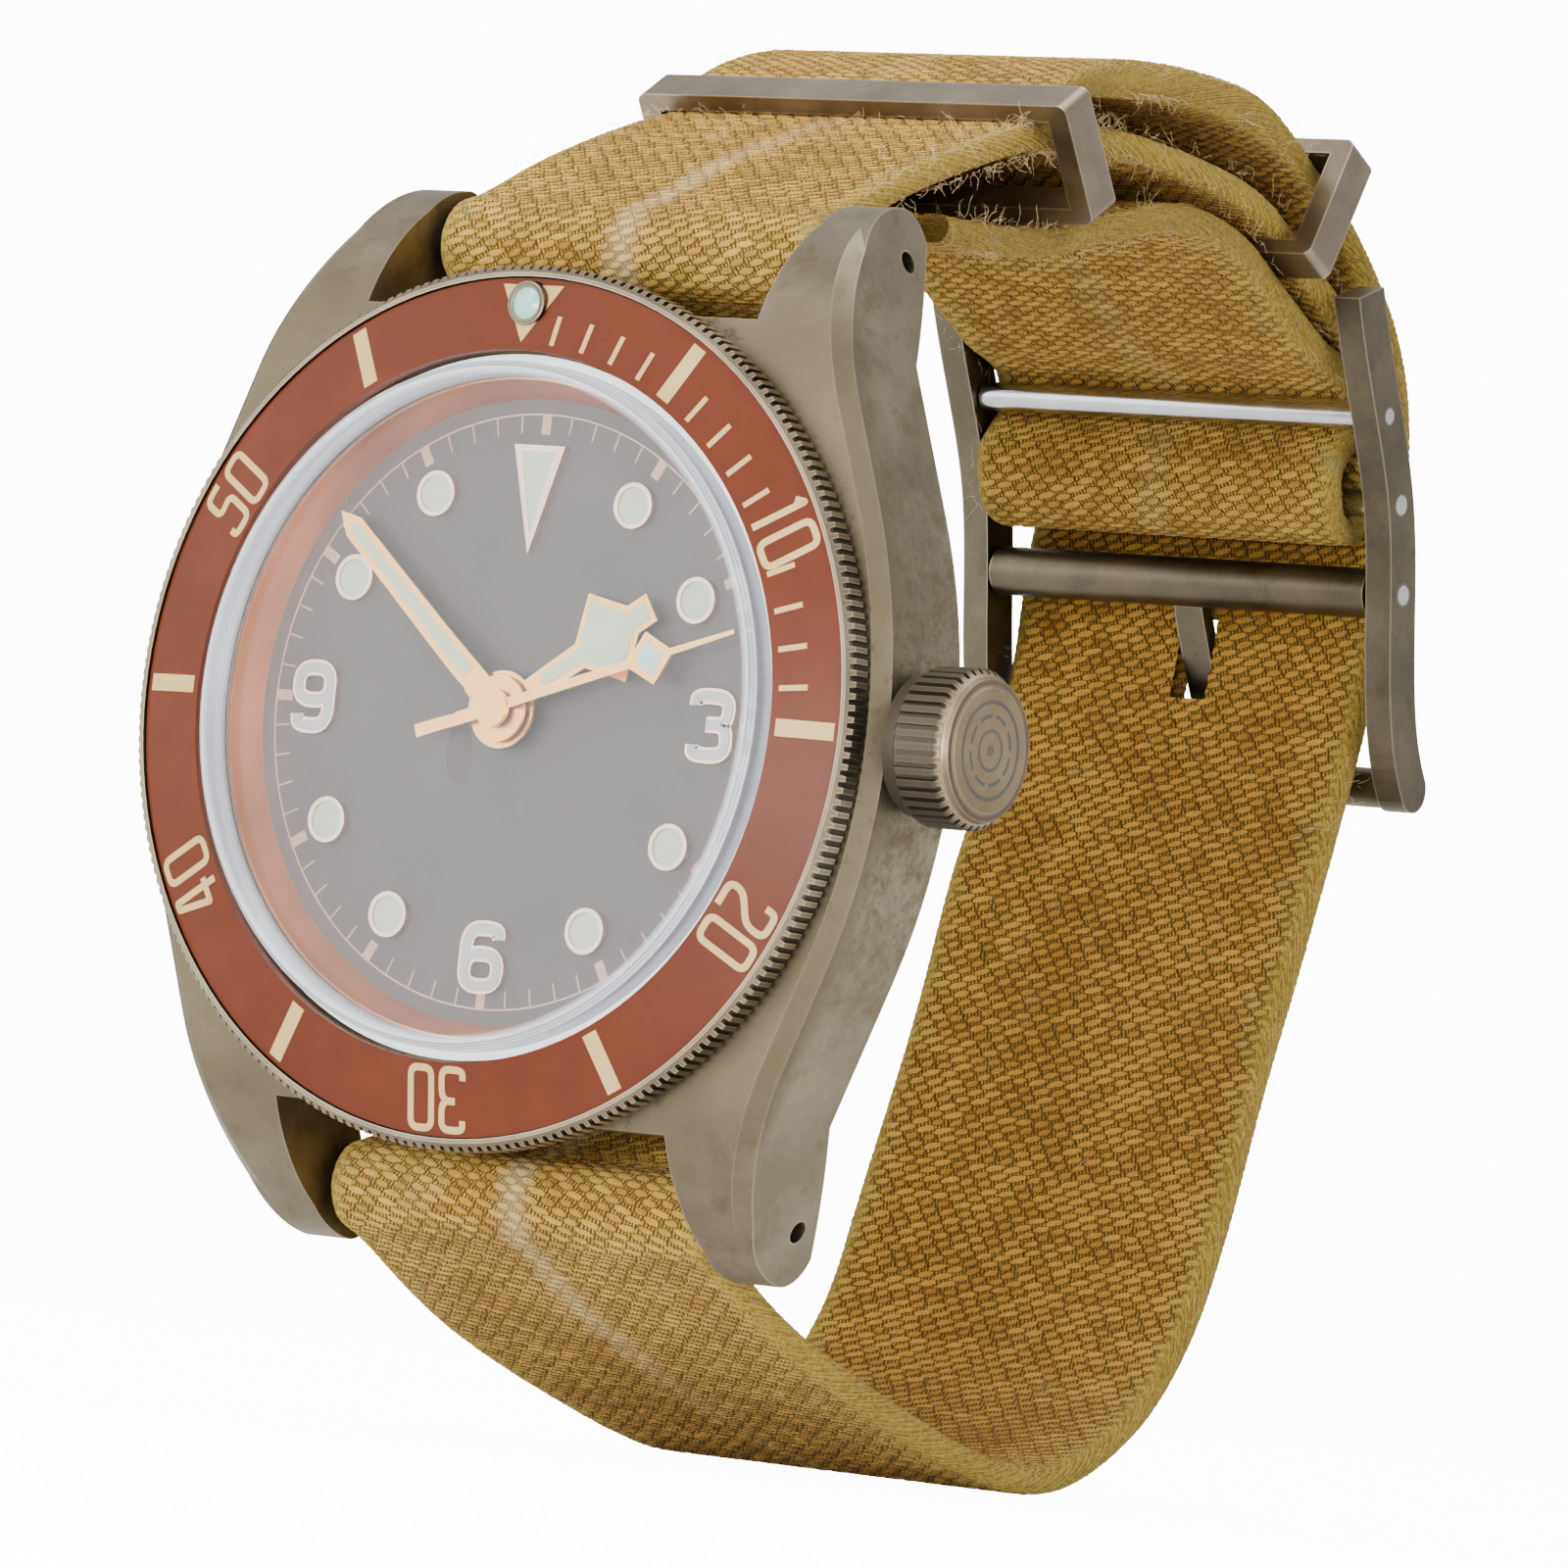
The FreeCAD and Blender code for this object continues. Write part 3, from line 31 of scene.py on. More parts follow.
MM = 0.001
DIAL_FACE = 11.3
CROWN_AXIS = 9.7
CROWN_FACE = 25.2
BEZEL_LIP = 14.4
INSERT_INNER, INSERT_OUTER = 16.55, 19.98
INSERT_HIGH, INSERT_LOW = 14.87, 14.25
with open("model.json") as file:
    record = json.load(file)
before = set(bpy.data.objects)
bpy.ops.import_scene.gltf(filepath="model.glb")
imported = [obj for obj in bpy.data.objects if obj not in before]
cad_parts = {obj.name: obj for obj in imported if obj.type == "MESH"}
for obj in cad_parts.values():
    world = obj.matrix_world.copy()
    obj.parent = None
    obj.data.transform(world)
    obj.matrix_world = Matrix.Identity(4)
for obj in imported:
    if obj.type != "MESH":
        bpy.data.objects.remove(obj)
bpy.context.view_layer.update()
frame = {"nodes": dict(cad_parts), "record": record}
NODES = frame["nodes"]
random.seed(7)
RNG = np.random.default_rng(7)


# ---------------------------------------------------------------- node helpers


class Tree:
    """A material's node tree with short ways to add nodes."""

    def __init__(self, name):
        self.material = bpy.data.materials.new(name)
        self.material.use_nodes = True
        self.tree = self.material.node_tree
        self.shader = self.tree.nodes["Principled BSDF"]
        self.output = self.tree.nodes["Material Output"]

    def link(self, value, socket):
        if isinstance(value, bpy.types.NodeSocket):
            self.tree.links.new(value, socket)
        elif isinstance(value, (tuple, list)) and len(value) == 3 and socket.type == "RGBA":
            socket.default_value = (*value, 1.0)
        else:
            socket.default_value = value

    def node(self, kind, inputs=None, output=0, **settings):
        made = self.tree.nodes.new(kind)
        for key, value in settings.items():
            setattr(made, key, value)
        for key, value in (inputs or {}).items():
            self.link(value, made.inputs[key])
        return made.outputs[output]

    def math(self, operation, a, b=0.5, c=0.5):
        return self.node("ShaderNodeMath", {0: a, 1: b, 2: c}, operation=operation)

    def mix(self, factor, a, b):
        made = self.tree.nodes.new("ShaderNodeMix")
        made.data_type = "RGBA"
        self.link(factor, made.inputs[0])
        self.link(a, made.inputs[6])
        self.link(b, made.inputs[7])
        return made.outputs[2]

    def centred(self, value):
        """The fractional part, from -0.5 to 0.5."""
        return self.math("SUBTRACT", self.math("FRACT", value), 0.5)

    def place(self, scale=(1, 1, 1)):
        """Object coordinates in millimetres, stretched by scale."""
        coords = self.tree.nodes.new("ShaderNodeTexCoord")
        size = tuple(s / MM for s in scale)
        return self.node("ShaderNodeMapping", {0: coords.outputs["Object"], 3: size})

    def noise(self, vector, scale, detail=3.0, rough=0.55):
        return self.node(
            "ShaderNodeTexNoise",
            {"Vector": vector, "Scale": scale, "Detail": detail, "Roughness": rough},
        )

    def ramp(self, value, low, high, out_low=0.0, out_high=1.0):
        return self.node(
            "ShaderNodeMapRange", {0: value, 1: low, 2: high, 3: out_low, 4: out_high}
        )

    def bump(self, height, strength, distance):
        inputs = {"Height": height, "Strength": strength, "Distance": distance}
        return self.node("ShaderNodeBump", inputs)

    def set(self, **values):
        for key, value in values.items():
            self.link(value, self.shader.inputs[key.replace("_", " ")])
        return self.material


def metal(name, light, dark, rough, grain, grain_depth, patina=None, spots=0.55, wear=0.4, patina_and_shade=None):
    """Brushed or satin metal: long grain, tone variation, brighter worn edges and patches of patina.
    The last argument may give a function that returns a mask and a tone for darkening in known places:
    patina, and on the case also painted shade."""
    t = Tree(name)
    where = t.place()
    fibre = t.noise(t.place(grain), 3.0, 4.0, 0.7)
    cloud = t.noise(where, 0.22, 5.0, 0.62)
    tone = t.mix(t.ramp(cloud, 0.35, 0.68), dark, light)
    tone = t.mix(t.ramp(fibre, 0.3, 0.75, 0.0, 0.25), tone, tuple(0.55 * c for c in dark))
    if patina:
        patch = t.noise(where, 0.55, 6.0, 0.68)
        tone = t.mix(t.ramp(patch, spots, spots + 0.13, 0.0, 0.6), tone, patina)
    edge = t.node("ShaderNodeBevel", {"Radius": 0.14 * MM}, samples=6)
    face = t.tree.nodes.new("ShaderNodeNewGeometry").outputs["Normal"]
    facing = t.node("ShaderNodeVectorMath", {0: edge, 1: face}, output=1, operation="DOT_PRODUCT")
    worn = t.ramp(facing, 0.995, 0.93, 0.0, wear)
    tone = t.mix(worn, tone, tuple(min(1.0, 1.9 * c + 0.1) for c in light))
    uneven = t.math("ADD", cloud, t.math("MULTIPLY", fibre, 0.6))
    rough_value = t.ramp(uneven, 0.4, 1.1, rough - 0.07, rough + 0.12)
    # Darkening in known places: patina, and on the case also painted shade under the bezel.
    if patina_and_shade:
        mask, dark_tone = patina_and_shade(t, where)
        tone = t.mix(mask, tone, dark_tone)
        rough_value = t.math("ADD", rough_value, t.math("MULTIPLY", mask, 0.25))
    normal = t.bump(fibre, 0.55, grain_depth * MM)
    return t.set(Base_Color=tone, Metallic=1.0, Roughness=rough_value, Normal=normal)


def distance(t, where, first, second, offset=0.0):
    """Distance in millimetres from an axis, and the node with the three coordinates. first and second are
    the numbers of the two directions across the axis, and offset is added to the first."""
    parts = t.tree.nodes.new("ShaderNodeSeparateXYZ")
    t.link(where, parts.inputs[0])
    a = t.math("ADD", parts.outputs[first], offset)
    b = parts.outputs[second]
    both = t.math("ADD", t.math("MULTIPLY", a, a), t.math("MULTIPLY", b, b))
    return t.math("SQRT", both), parts


def case_grime(t, where):
    """Mottled deposit round the bezel and beside the crown. The case top just under the bezel is browner and
    darker, partly patina and partly painted shadow of the bezel's overhang.
    """
    radius, parts = distance(t, where, 0, 2)
    ring = t.ramp(radius, 23.2, 20.7)
    beside = t.math("SUBTRACT", 1.0, t.math("DIVIDE", t.math("ABSOLUTE", parts.outputs[2]), 6.0))
    crown = t.math("MULTIPLY", t.ramp(parts.outputs[0], 17.0, 20.5), t.ramp(beside, 0.0, 0.6, 0.0, 0.8))
    mottle = t.ramp(t.noise(where, 1.5, 6.0, 0.75), 0.42, 0.62)
    spots = t.math("MULTIPLY", t.math("MAXIMUM", ring, crown), mottle)
    # Darker band under the bezel: partly patina, partly painted shadow cast by the bezel's overhang.
    front = t.ramp(parts.outputs[1], -10.6, -12.3, 0.0, 0.65)
    return t.math("MAXIMUM", spots, front), (0.118, 0.094, 0.056)


def bezel_grime(t, where):
    """Darker towards the bottom of the coin edge."""
    radius, parts = distance(t, where, 0, 2)
    low = t.ramp(parts.outputs[1], -14.1, -13.9)
    return t.math("MULTIPLY", low, t.ramp(radius, 20.56, 20.40, 0.0, 0.85)), (0.045, 0.045, 0.038)


def crown_grime(t, where):
    """Darker on the crown's grooved side, and a dark ring round its end."""
    radius, parts = distance(t, where, 1, 2, CROWN_AXIS)
    side = t.ramp(parts.outputs[0], 24.75, 24.5, 0.0, 0.9)
    ring = t.math("MULTIPLY", t.ramp(radius, 2.75, 2.9, 0.0, 0.55), t.ramp(parts.outputs[0], 24.7, 25.0))
    return t.math("MAXIMUM", side, ring), (0.055, 0.048, 0.038)


def paint(name, light, dark, rough=0.5, grain=0.9, depth=0.003, metallic=0.0, coat=0.0, shine=0.5):
    """Painted, printed or moulded surface with fine mottling."""
    t = Tree(name)
    where = t.place()
    cloud = t.noise(where, 0.3, 5.0, 0.6)
    fine = t.noise(where, grain * 8, 3.0, 0.6)
    tone = t.mix(t.ramp(cloud, 0.35, 0.65), dark, light)
    tone = t.mix(t.ramp(fine, 0.4, 0.7, 0.0, 0.12), tone, tuple(0.75 * c for c in dark))
    normal = t.bump(fine, 0.5, depth * MM)
    return t.set(Base_Color=tone, Metallic=metallic, Roughness=rough, Normal=normal, Coat_Weight=coat,
                 Specular_IOR_Level=shine)


def glass(name):
    """Clear crystal that lets light through to the dial, with painted reflection bands near its rim."""
    t = Tree(name)
    smear = t.noise(t.place(), 0.4, 2.0)
    t.set(Base_Color=(0.97, 0.985, 1.0), Roughness=t.ramp(smear, 0.3, 0.7, 0.0, 0.012), IOR=1.38)
    t.link(1.0, t.shader.inputs["Transmission Weight"])
    path = t.tree.nodes.new("ShaderNodeLightPath")
    either = t.math("MAXIMUM", path.outputs["Is Shadow Ray"], path.outputs["Is Diffuse Ray"])
    clear = t.node("ShaderNodeBsdfTransparent", {"Color": (0.96, 0.97, 0.98)})
    radius, _ = distance(t, t.place(), 0, 2)
    wave = t.math("MULTIPLY", radius, 5.5)
    stripe = t.node("ShaderNodeTexNoise", {"W": wave, "Detail": 2.0}, noise_dimensions="1D")
    # Near the rim a streaked, partly metallic shader is mixed in: painted reflection bands standing in for
    # the lit edge of the crystal.
    rim = t.ramp(radius, 15.3, 15.65, 0.0, 0.75)
    glint_bands = t.mix(t.ramp(stripe, 0.38, 0.62), (0.30, 0.33, 0.38), (0.92, 0.95, 1.0))
    glint_shader = t.node(
        "ShaderNodeBsdfPrincipled", {"Base Color": glint_bands, "Roughness": 0.22, "Metallic": 0.45}
    )
    body = t.node("ShaderNodeMixShader", {0: rim, 1: t.shader.outputs[0], 2: glint_shader})
    mixed = t.node("ShaderNodeMixShader", {0: either, 1: body, 2: clear})
    t.tree.links.new(mixed, t.output.inputs["Surface"])
    return t.material


# The weave: distance between its rows and between the floats of a row, how far each row is shifted
# (a share of that distance), half a float's length and height, and the ribs of the selvedge.
ROW = 0.43
PERIOD = 1.08
SHIFT = 0.36
FLOAT = 0.45
FLOAT_HIGH = 0.175
RIB = 0.45


def weave(t, across, forward, where):
    """Masks of the raised floats and of the thin upright threads under them, how far a point is from its
    float's middle, and a chance value for each float."""
    wobble = t.math("SUBTRACT", t.noise(where, 0.9, 3.0), 0.5)
    rows = t.math("ADD", t.math("DIVIDE", forward, ROW), t.math("MULTIPLY", wobble, 0.7))
    row = t.math("FLOOR", rows)
    jitter = t.math("MULTIPLY", t.node("ShaderNodeTexWhiteNoise", {"W": row}, noise_dimensions="1D"), 0.14)
    columns = t.math("ADD", t.math("DIVIDE", across, PERIOD), t.math("MULTIPLY", row, SHIFT))
    columns = t.math("ADD", t.math("ADD", columns, jitter), t.math("MULTIPLY", wobble, 0.35))
    in_dash = t.math("MULTIPLY", t.centred(columns), PERIOD)
    in_row = t.math("MULTIPLY", t.centred(rows), ROW)
    in_row = t.math("SUBTRACT", in_row, t.math("MULTIPLY", in_dash, 0.2))
    number = t.node("ShaderNodeCombineXYZ", {0: t.math("FLOOR", columns), 1: row})
    chance = t.node("ShaderNodeTexWhiteNoise", {"Vector": number}, noise_dimensions="2D")
    length = t.math("ADD", FLOAT, t.math("MULTIPLY", t.math("SUBTRACT", chance, 0.5), 0.2))
    wide = t.math("POWER", t.math("ABSOLUTE", t.math("DIVIDE", in_dash, length)), 2.6)
    tall = t.math("POWER", t.math("ABSOLUTE", t.math("DIVIDE", in_row, FLOAT_HIGH)), 2.2)
    ragged = t.math("MULTIPLY", t.math("SUBTRACT", t.noise(where, 4.5, 3.0, 0.7), 0.5), 1.3)
    reach = t.math("ADD", t.math("ADD", wide, tall), ragged)
    slant = t.math("ADD", across, t.math("MULTIPLY", forward, 0.3))
    slant = t.math("ADD", slant, t.math("MULTIPLY", wobble, 0.25))
    strand = t.math("ABSOLUTE", t.centred(t.math("DIVIDE", slant, 0.21)))
    return t.ramp(reach, 1.2, 0.5), t.ramp(strand, 0.46, 0.14), reach, chance


def fabric(name, outer):
    """Coarse cloth of short raised floats on thin upright threads. The UV map holds millimetres across and
    along. The outer face is yellower, with a pale worn stripe along its middle."""
    t = Tree(name)
    uv = t.node("ShaderNodeUVMap", uv_map="UVMap")
    parts = t.tree.nodes.new("ShaderNodeSeparateXYZ")
    t.link(uv, parts.inputs[0])
    across, forward = parts.outputs[0], parts.outputs[1]
    side = t.math("ABSOLUTE", across)
    where = t.place()
    dash, warp, reach, chance = weave(t, across, forward, where)
    cloud = t.noise(where, 0.16, 5.0, 0.65)
    blot = t.noise(where, 0.6, 5.0, 0.7)
    thread = t.noise(where, 2.6, 3.0, 0.7)
    fibres = t.noise(t.place((2.0, 7.0, 7.0)), 2.5, 3.0, 0.75)
    # The gap colours are painted shade for the hollows between the threads.
    if outer:
        float_low, float_high = (0.34, 0.168, 0.024), (0.60, 0.345, 0.060)
        warp_low, warp_high = (0.32, 0.22, 0.016), (0.64, 0.50, 0.055)
        gap = (0.060, 0.022, 0.004)
    else:
        float_low, float_high = (0.34, 0.160, 0.018), (0.60, 0.31, 0.044)
        warp_low, warp_high = (0.26, 0.165, 0.014), (0.50, 0.35, 0.036)
        gap = (0.050, 0.018, 0.004)
    vary = t.math("ADD", t.math("MULTIPLY", cloud, 0.45), t.math("MULTIPLY", thread, 0.35))
    vary = t.math("ADD", vary, t.math("MULTIPLY", chance, 0.2))
    floats = t.mix(t.ramp(vary, 0.38, 0.62), float_low, float_high)
    upright = t.mix(t.ramp(vary, 0.4, 0.6), warp_low, warp_high)
    spread = t.math("ADD", side, t.math("MULTIPLY", blot, 2.2))
    edge = t.ramp(spread, 9.9, 11.9)
    floats = t.mix(t.math("MULTIPLY", edge, 0.8), floats, (0.42, 0.33, 0.075))
    # Upright threads, with painted shade in the hollows between them.
    under = t.mix(t.ramp(warp, 0.4, 0.95), gap, upright)
    tone = t.mix(dash, under, floats)
    rim_shadow = t.math("MULTIPLY", t.ramp(reach, 0.8, 1.15), t.ramp(reach, 2.3, 1.3))
    tone = t.mix(t.math("MULTIPLY", rim_shadow, 0.92), tone, gap)
    if outer:
        depth = t.node("ShaderNodeSeparateXYZ", {0: where}, output=1)
        faded = t.ramp(depth, -2.0, 12.0, 0.5, 0.1)
        stripe = t.math("MULTIPLY", t.ramp(spread, 2.3, 1.4), faded)
        worn = t.math("MULTIPLY", stripe, t.ramp(dash, 0.0, 1.0, 0.6, 1.0))
        tone = t.mix(worn, tone, (0.70, 0.57, 0.29))
    rim_fibre = t.noise(t.place((7.0, 2.5, 2.5)), 1.6, 3.0, 0.7)
    selvedge = t.ramp(t.math("ADD", side, t.math("MULTIPLY", blot, 0.9)), 10.25, 10.9)
    cord = t.mix(t.ramp(rim_fibre, 0.38, 0.62), (0.17, 0.105, 0.012), (0.48, 0.36, 0.06))
    tone = t.mix(t.math("MULTIPLY", selvedge, 0.6), tone, cord)
    smudge = t.ramp(t.noise(where, 0.3, 4.0, 0.7), 0.60, 0.72, 0.0, 0.4)
    tone = t.mix(t.math("MULTIPLY", smudge, t.ramp(edge, 0.0, 1.0, 0.3, 1.0)), tone, (0.27, 0.32, 0.17))
    tone = t.mix(t.ramp(fibres, 0.40, 0.70, 0.0, 0.5), tone, tuple(0.5 * c for c in float_low))
    rib = t.math("ABSOLUTE", t.centred(t.math("DIVIDE", forward, RIB)))
    ribs = t.math("MULTIPLY", t.ramp(rib, 0.5, 0.15, 0.0, 0.5), t.ramp(side, 10.2, 10.6))
    threads = t.math("MULTIPLY", warp, t.math("SUBTRACT", 1.0, dash))
    height = t.math("ADD", dash, t.math("MULTIPLY", threads, 0.5))
    height = t.math("MULTIPLY", height, t.math("SUBTRACT", 1.0, t.math("MULTIPLY", selvedge, 0.4)))
    height = t.math("ADD", height, t.math("MULTIPLY", t.math("ADD", fibres, rim_fibre), 0.5))
    height = t.math("ADD", height, ribs)
    return t.set(
        Base_Color=tone, Roughness=0.93, Normal=t.bump(height, 0.95, 0.12 * MM), Sheen_Weight=0.2,
        Sheen_Tint=(0.8, 0.6, 0.3), Specular_IOR_Level=0.1,
    )


def dress(node, material):
    """Gives a CAD node a material."""
    mesh = NODES[node].data
    mesh.materials.clear()
    mesh.materials.append(material)


# ---------------------------------------------------------------- mesh helpers


def new_object(name, vertices, faces, material, body, smooth=False):
    """A mesh piece in millimetres that rides on a CAD body."""
    mesh = bpy.data.meshes.new(name)
    mesh.from_pydata([tuple(MM * c for c in v) for v in vertices], [], faces)
    mesh.update()
    made = bpy.data.objects.new(name, mesh)
    bpy.context.scene.collection.objects.link(made)
    mesh.materials.append(material)
    if smooth:
        for face in mesh.polygons:
            face.use_smooth = True
    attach(made, body)
    return made


def clock(radius, degrees):
    """(x, z) at a radius, clockwise from 12."""
    angle = math.radians(degrees)
    return radius * math.sin(angle), radius * math.cos(angle)


def turn(points, degrees):
    """Turns (side, forward) points from 12 o'clock to a clock direction."""
    done = []
    for side, forward in points:
        x, z = clock(forward, degrees)
        sx, sz = clock(side, degrees + 90)
        done.append((x + sx, z + sz))
    return done


class Relief:
    """Collects flat raised figures, then makes one mesh of them. rise(x, z) is the level they stand on."""

    def __init__(self, base, height, bevel=0.0):
        self.vertices, self.faces = [], []
        self.base, self.height, self.bevel = base, height, bevel

    def strip(self, left, right, closed=False, height=None):
        """A raised band between two lines of (x, z) points."""
        height = self.height if height is None else height
        start = len(self.vertices)
        for a, b in zip(left, right):
            for (x, z), lift in ((a, 0.0), (a, height), (b, height), (b, 0.0)):
                self.vertices.append((x, -self.base(x, z) - lift, z))
        count = len(left)
        for i in range(count if closed else count - 1):
            here, after = start + 4 * i, start + 4 * ((i + 1) % count)
            for side in range(3):
                self.faces.append((here + side, here + side + 1, after + side + 1, after + side))
        if not closed:
            end = start + 4 * (count - 1)
            self.faces.append((start + 3, start + 2, start + 1, start))
            self.faces.append((end, end + 1, end + 2, end + 3))

    def polygon(self, points, height=None):
        """A raised filled outline, convex or nearly so."""
        height = self.height if height is None else height
        start, count = len(self.vertices), len(points)
        for lift in (0.0, height):
            for x, z in points:
                self.vertices.append((x, -self.base(x, z) - lift, z))
        self.faces.append(tuple(range(start + count, start + 2 * count)))
        for i in range(count):
            j = (i + 1) % count
            self.faces.append((start + i, start + j, start + count + j, start + count + i))

    def stroke(self, line, width, closed=False, height=None):
        """A raised line of constant width with mitred corners."""
        left, right = offset_lines(line, width / 2, closed)
        self.strip(left, right, closed, height)

    def ring(self, centre, inner, outer, height=None, steps=48):
        angles = [360 * k / steps for k in range(steps)]
        cx, cz = centre
        left = [(cx + clock(outer, a)[0], cz + clock(outer, a)[1]) for a in angles]
        right = [(cx + clock(inner, a)[0], cz + clock(inner, a)[1]) for a in angles]
        self.strip(left, right, True, height)

    def dome(self, centre, radius, low, high, steps=40, rings=6):
        """A shallow filled dome."""
        cx, cz = centre
        start = len(self.vertices)
        for k in range(rings + 1):
            share = k / rings
            level = low + (high - low) * math.cos(share * math.pi / 2)
            for s in range(steps):
                x, z = clock(radius * max(share, 0.02), 360 * s / steps)
                self.vertices.append((cx + x, -self.base(cx + x, cz + z) - level, cz + z))
        for k in range(rings):
            for s in range(steps):
                a, b = start + k * steps + s, start + k * steps + (s + 1) % steps
                self.faces.append((a, b, b + steps, a + steps))
        self.faces.append(tuple(range(start, start + steps)))

    def make(self, name, material, body, smooth=False):
        made = new_object(name, self.vertices, self.faces, material, body, smooth)
        if self.bevel:
            bevel = made.modifiers.new("edge", "BEVEL")
            bevel.width = self.bevel * MM
            bevel.segments = 2
            bevel.limit_method = "ANGLE"
            bevel.angle_limit = math.radians(40)
        return made


def offset_lines(line, half, closed):
    """Lines half a width to both sides of a line, with mitred corners."""
    points = [Vector(p) for p in line]
    count = len(points)
    left, right = [], []
    for i, point in enumerate(points):
        before = points[i - 1] if (i or closed) else None
        after = points[(i + 1) % count] if (i < count - 1 or closed) else None
        runs = []
        if before is not None:
            runs.append((point - before).normalized())
        if after is not None:
            runs.append((after - point).normalized())
        normals = [Vector((-r.y, r.x)) for r in runs]
        if len(normals) == 2:
            both = (normals[0] + normals[1]).normalized()
            reach = half / max(0.45, both.dot(normals[0]))
        else:
            both, reach = normals[0], half
        left.append(tuple(point + both * reach))
        right.append(tuple(point - both * reach))
    return left, right


# Centre lines of the numerals in a box one unit wide and high, each with whether it is closed.
BOWL = [(-0.5, 0.06), (0.5, 0.06), (0.5, -0.5), (-0.5, -0.5)]
STEM = [(-0.5, -0.2), (-0.5, 0.5), (0.44, 0.5), (0.46, 0.31)]
SHAPES = {
    "0": [([(-0.5, 0.5), (0.5, 0.5), (0.5, -0.5), (-0.5, -0.5)], True)],
    "1": [([(-0.30, 0.36), (-0.04, 0.5), (-0.04, -0.5)], False)],
    "2": [
        ([(-0.5, 0.28), (-0.5, 0.5), (0.5, 0.5), (0.5, 0.12), (-0.5, -0.22), (-0.5, -0.5), (0.5, -0.5)],
         False),
    ],
    "3": [
        ([(-0.5, 0.33), (-0.5, 0.5), (0.5, 0.5), (0.5, 0.1), (0.26, 0.02), (0.5, -0.07), (0.5, -0.5),
          (-0.5, -0.5), (-0.5, -0.33)], False),
        ([(0.3, 0.02), (-0.14, 0.02)], False),
    ],
    "4": [([(0.2, -0.5), (0.2, 0.5), (-0.08, 0.5), (-0.5, -0.24), (0.5, -0.24)], False)],
    "5": [
        ([(0.42, 0.5), (-0.42, 0.5), (-0.42, 0.06), (0.5, 0.12), (0.5, -0.5), (-0.5, -0.5), (-0.5, -0.34)],
         False),
    ],
    "6": [(BOWL, True), (STEM, False)],
}
SHAPES["9"] = [([(-x, -y) for x, y in line], closed) for line, closed in SHAPES["6"]]


def rounded(line, radius, closed, steps=6):
    """The same line with its corners rounded."""
    corners = [Vector(p) for p in line]
    count = len(corners)
    points = []
    for i, corner in enumerate(corners):
        if not closed and i in (0, count - 1):
            points.append(tuple(corner))
            continue
        before, after = corners[i - 1] - corner, corners[(i + 1) % count] - corner
        start = corner + before.normalized() * min(radius, before.length * 0.48)
        end = corner + after.normalized() * min(radius, after.length * 0.48)
        for k in range(steps + 1):
            share = k / steps
            low, high = start.lerp(corner, share), corner.lerp(end, share)
            points.append(tuple(low.lerp(high, share)))
    return points


def numeral(kind, width, height, radius):
    """Rounded centre lines of a numeral of this width and height, and whether each is closed."""
    sharp = {"4": 0.05, "1": 0.05}
    lines = []
    for line, closed in SHAPES[kind]:
        placed = [(x * width, y * height) for x, y in line]
        lines.append((rounded(placed, sharp.get(kind, radius), closed), closed))
    return lines


# ---------------------------------------------------------------- camera, light, floor


def set_camera():
    """Long lens on the crown side, a little below the watch."""
    right = Vector((0.8124358, 0.57191481, 0.11340867))
    up = -Vector((0.06354379, 0.10649827, -0.99228036))
    ahead = Vector((-0.57957766, 0.8133705, 0.05018137))
    camera = bpy.data.objects.new("camera", bpy.data.cameras.new("camera"))
    bpy.context.scene.collection.objects.link(camera)
    bpy.context.scene.camera = camera
    camera.data.lens = 238.36
    camera.data.sensor_width = 36
    camera.data.clip_start = 0.05
    rotation = Matrix((right, up, -ahead)).transposed().to_4x4()
    camera.matrix_world = Matrix.Translation((0.289249, -0.395916, -0.02605)) @ rotation


def area_light(name, place, aim, size, power, tone=(1, 1, 1)):
    data = bpy.data.lights.new(name, "AREA")
    data.shape = "RECTANGLE"
    data.size, data.size_y = size
    data.energy = power
    data.color = tone
    light = bpy.data.objects.new(name, data)
    bpy.context.scene.collection.objects.link(light)
    light.location = place
    light.rotation_mode = "QUATERNION"
    light.rotation_quaternion = (Vector(aim) - Vector(place)).to_track_quat("-Z", "Y")


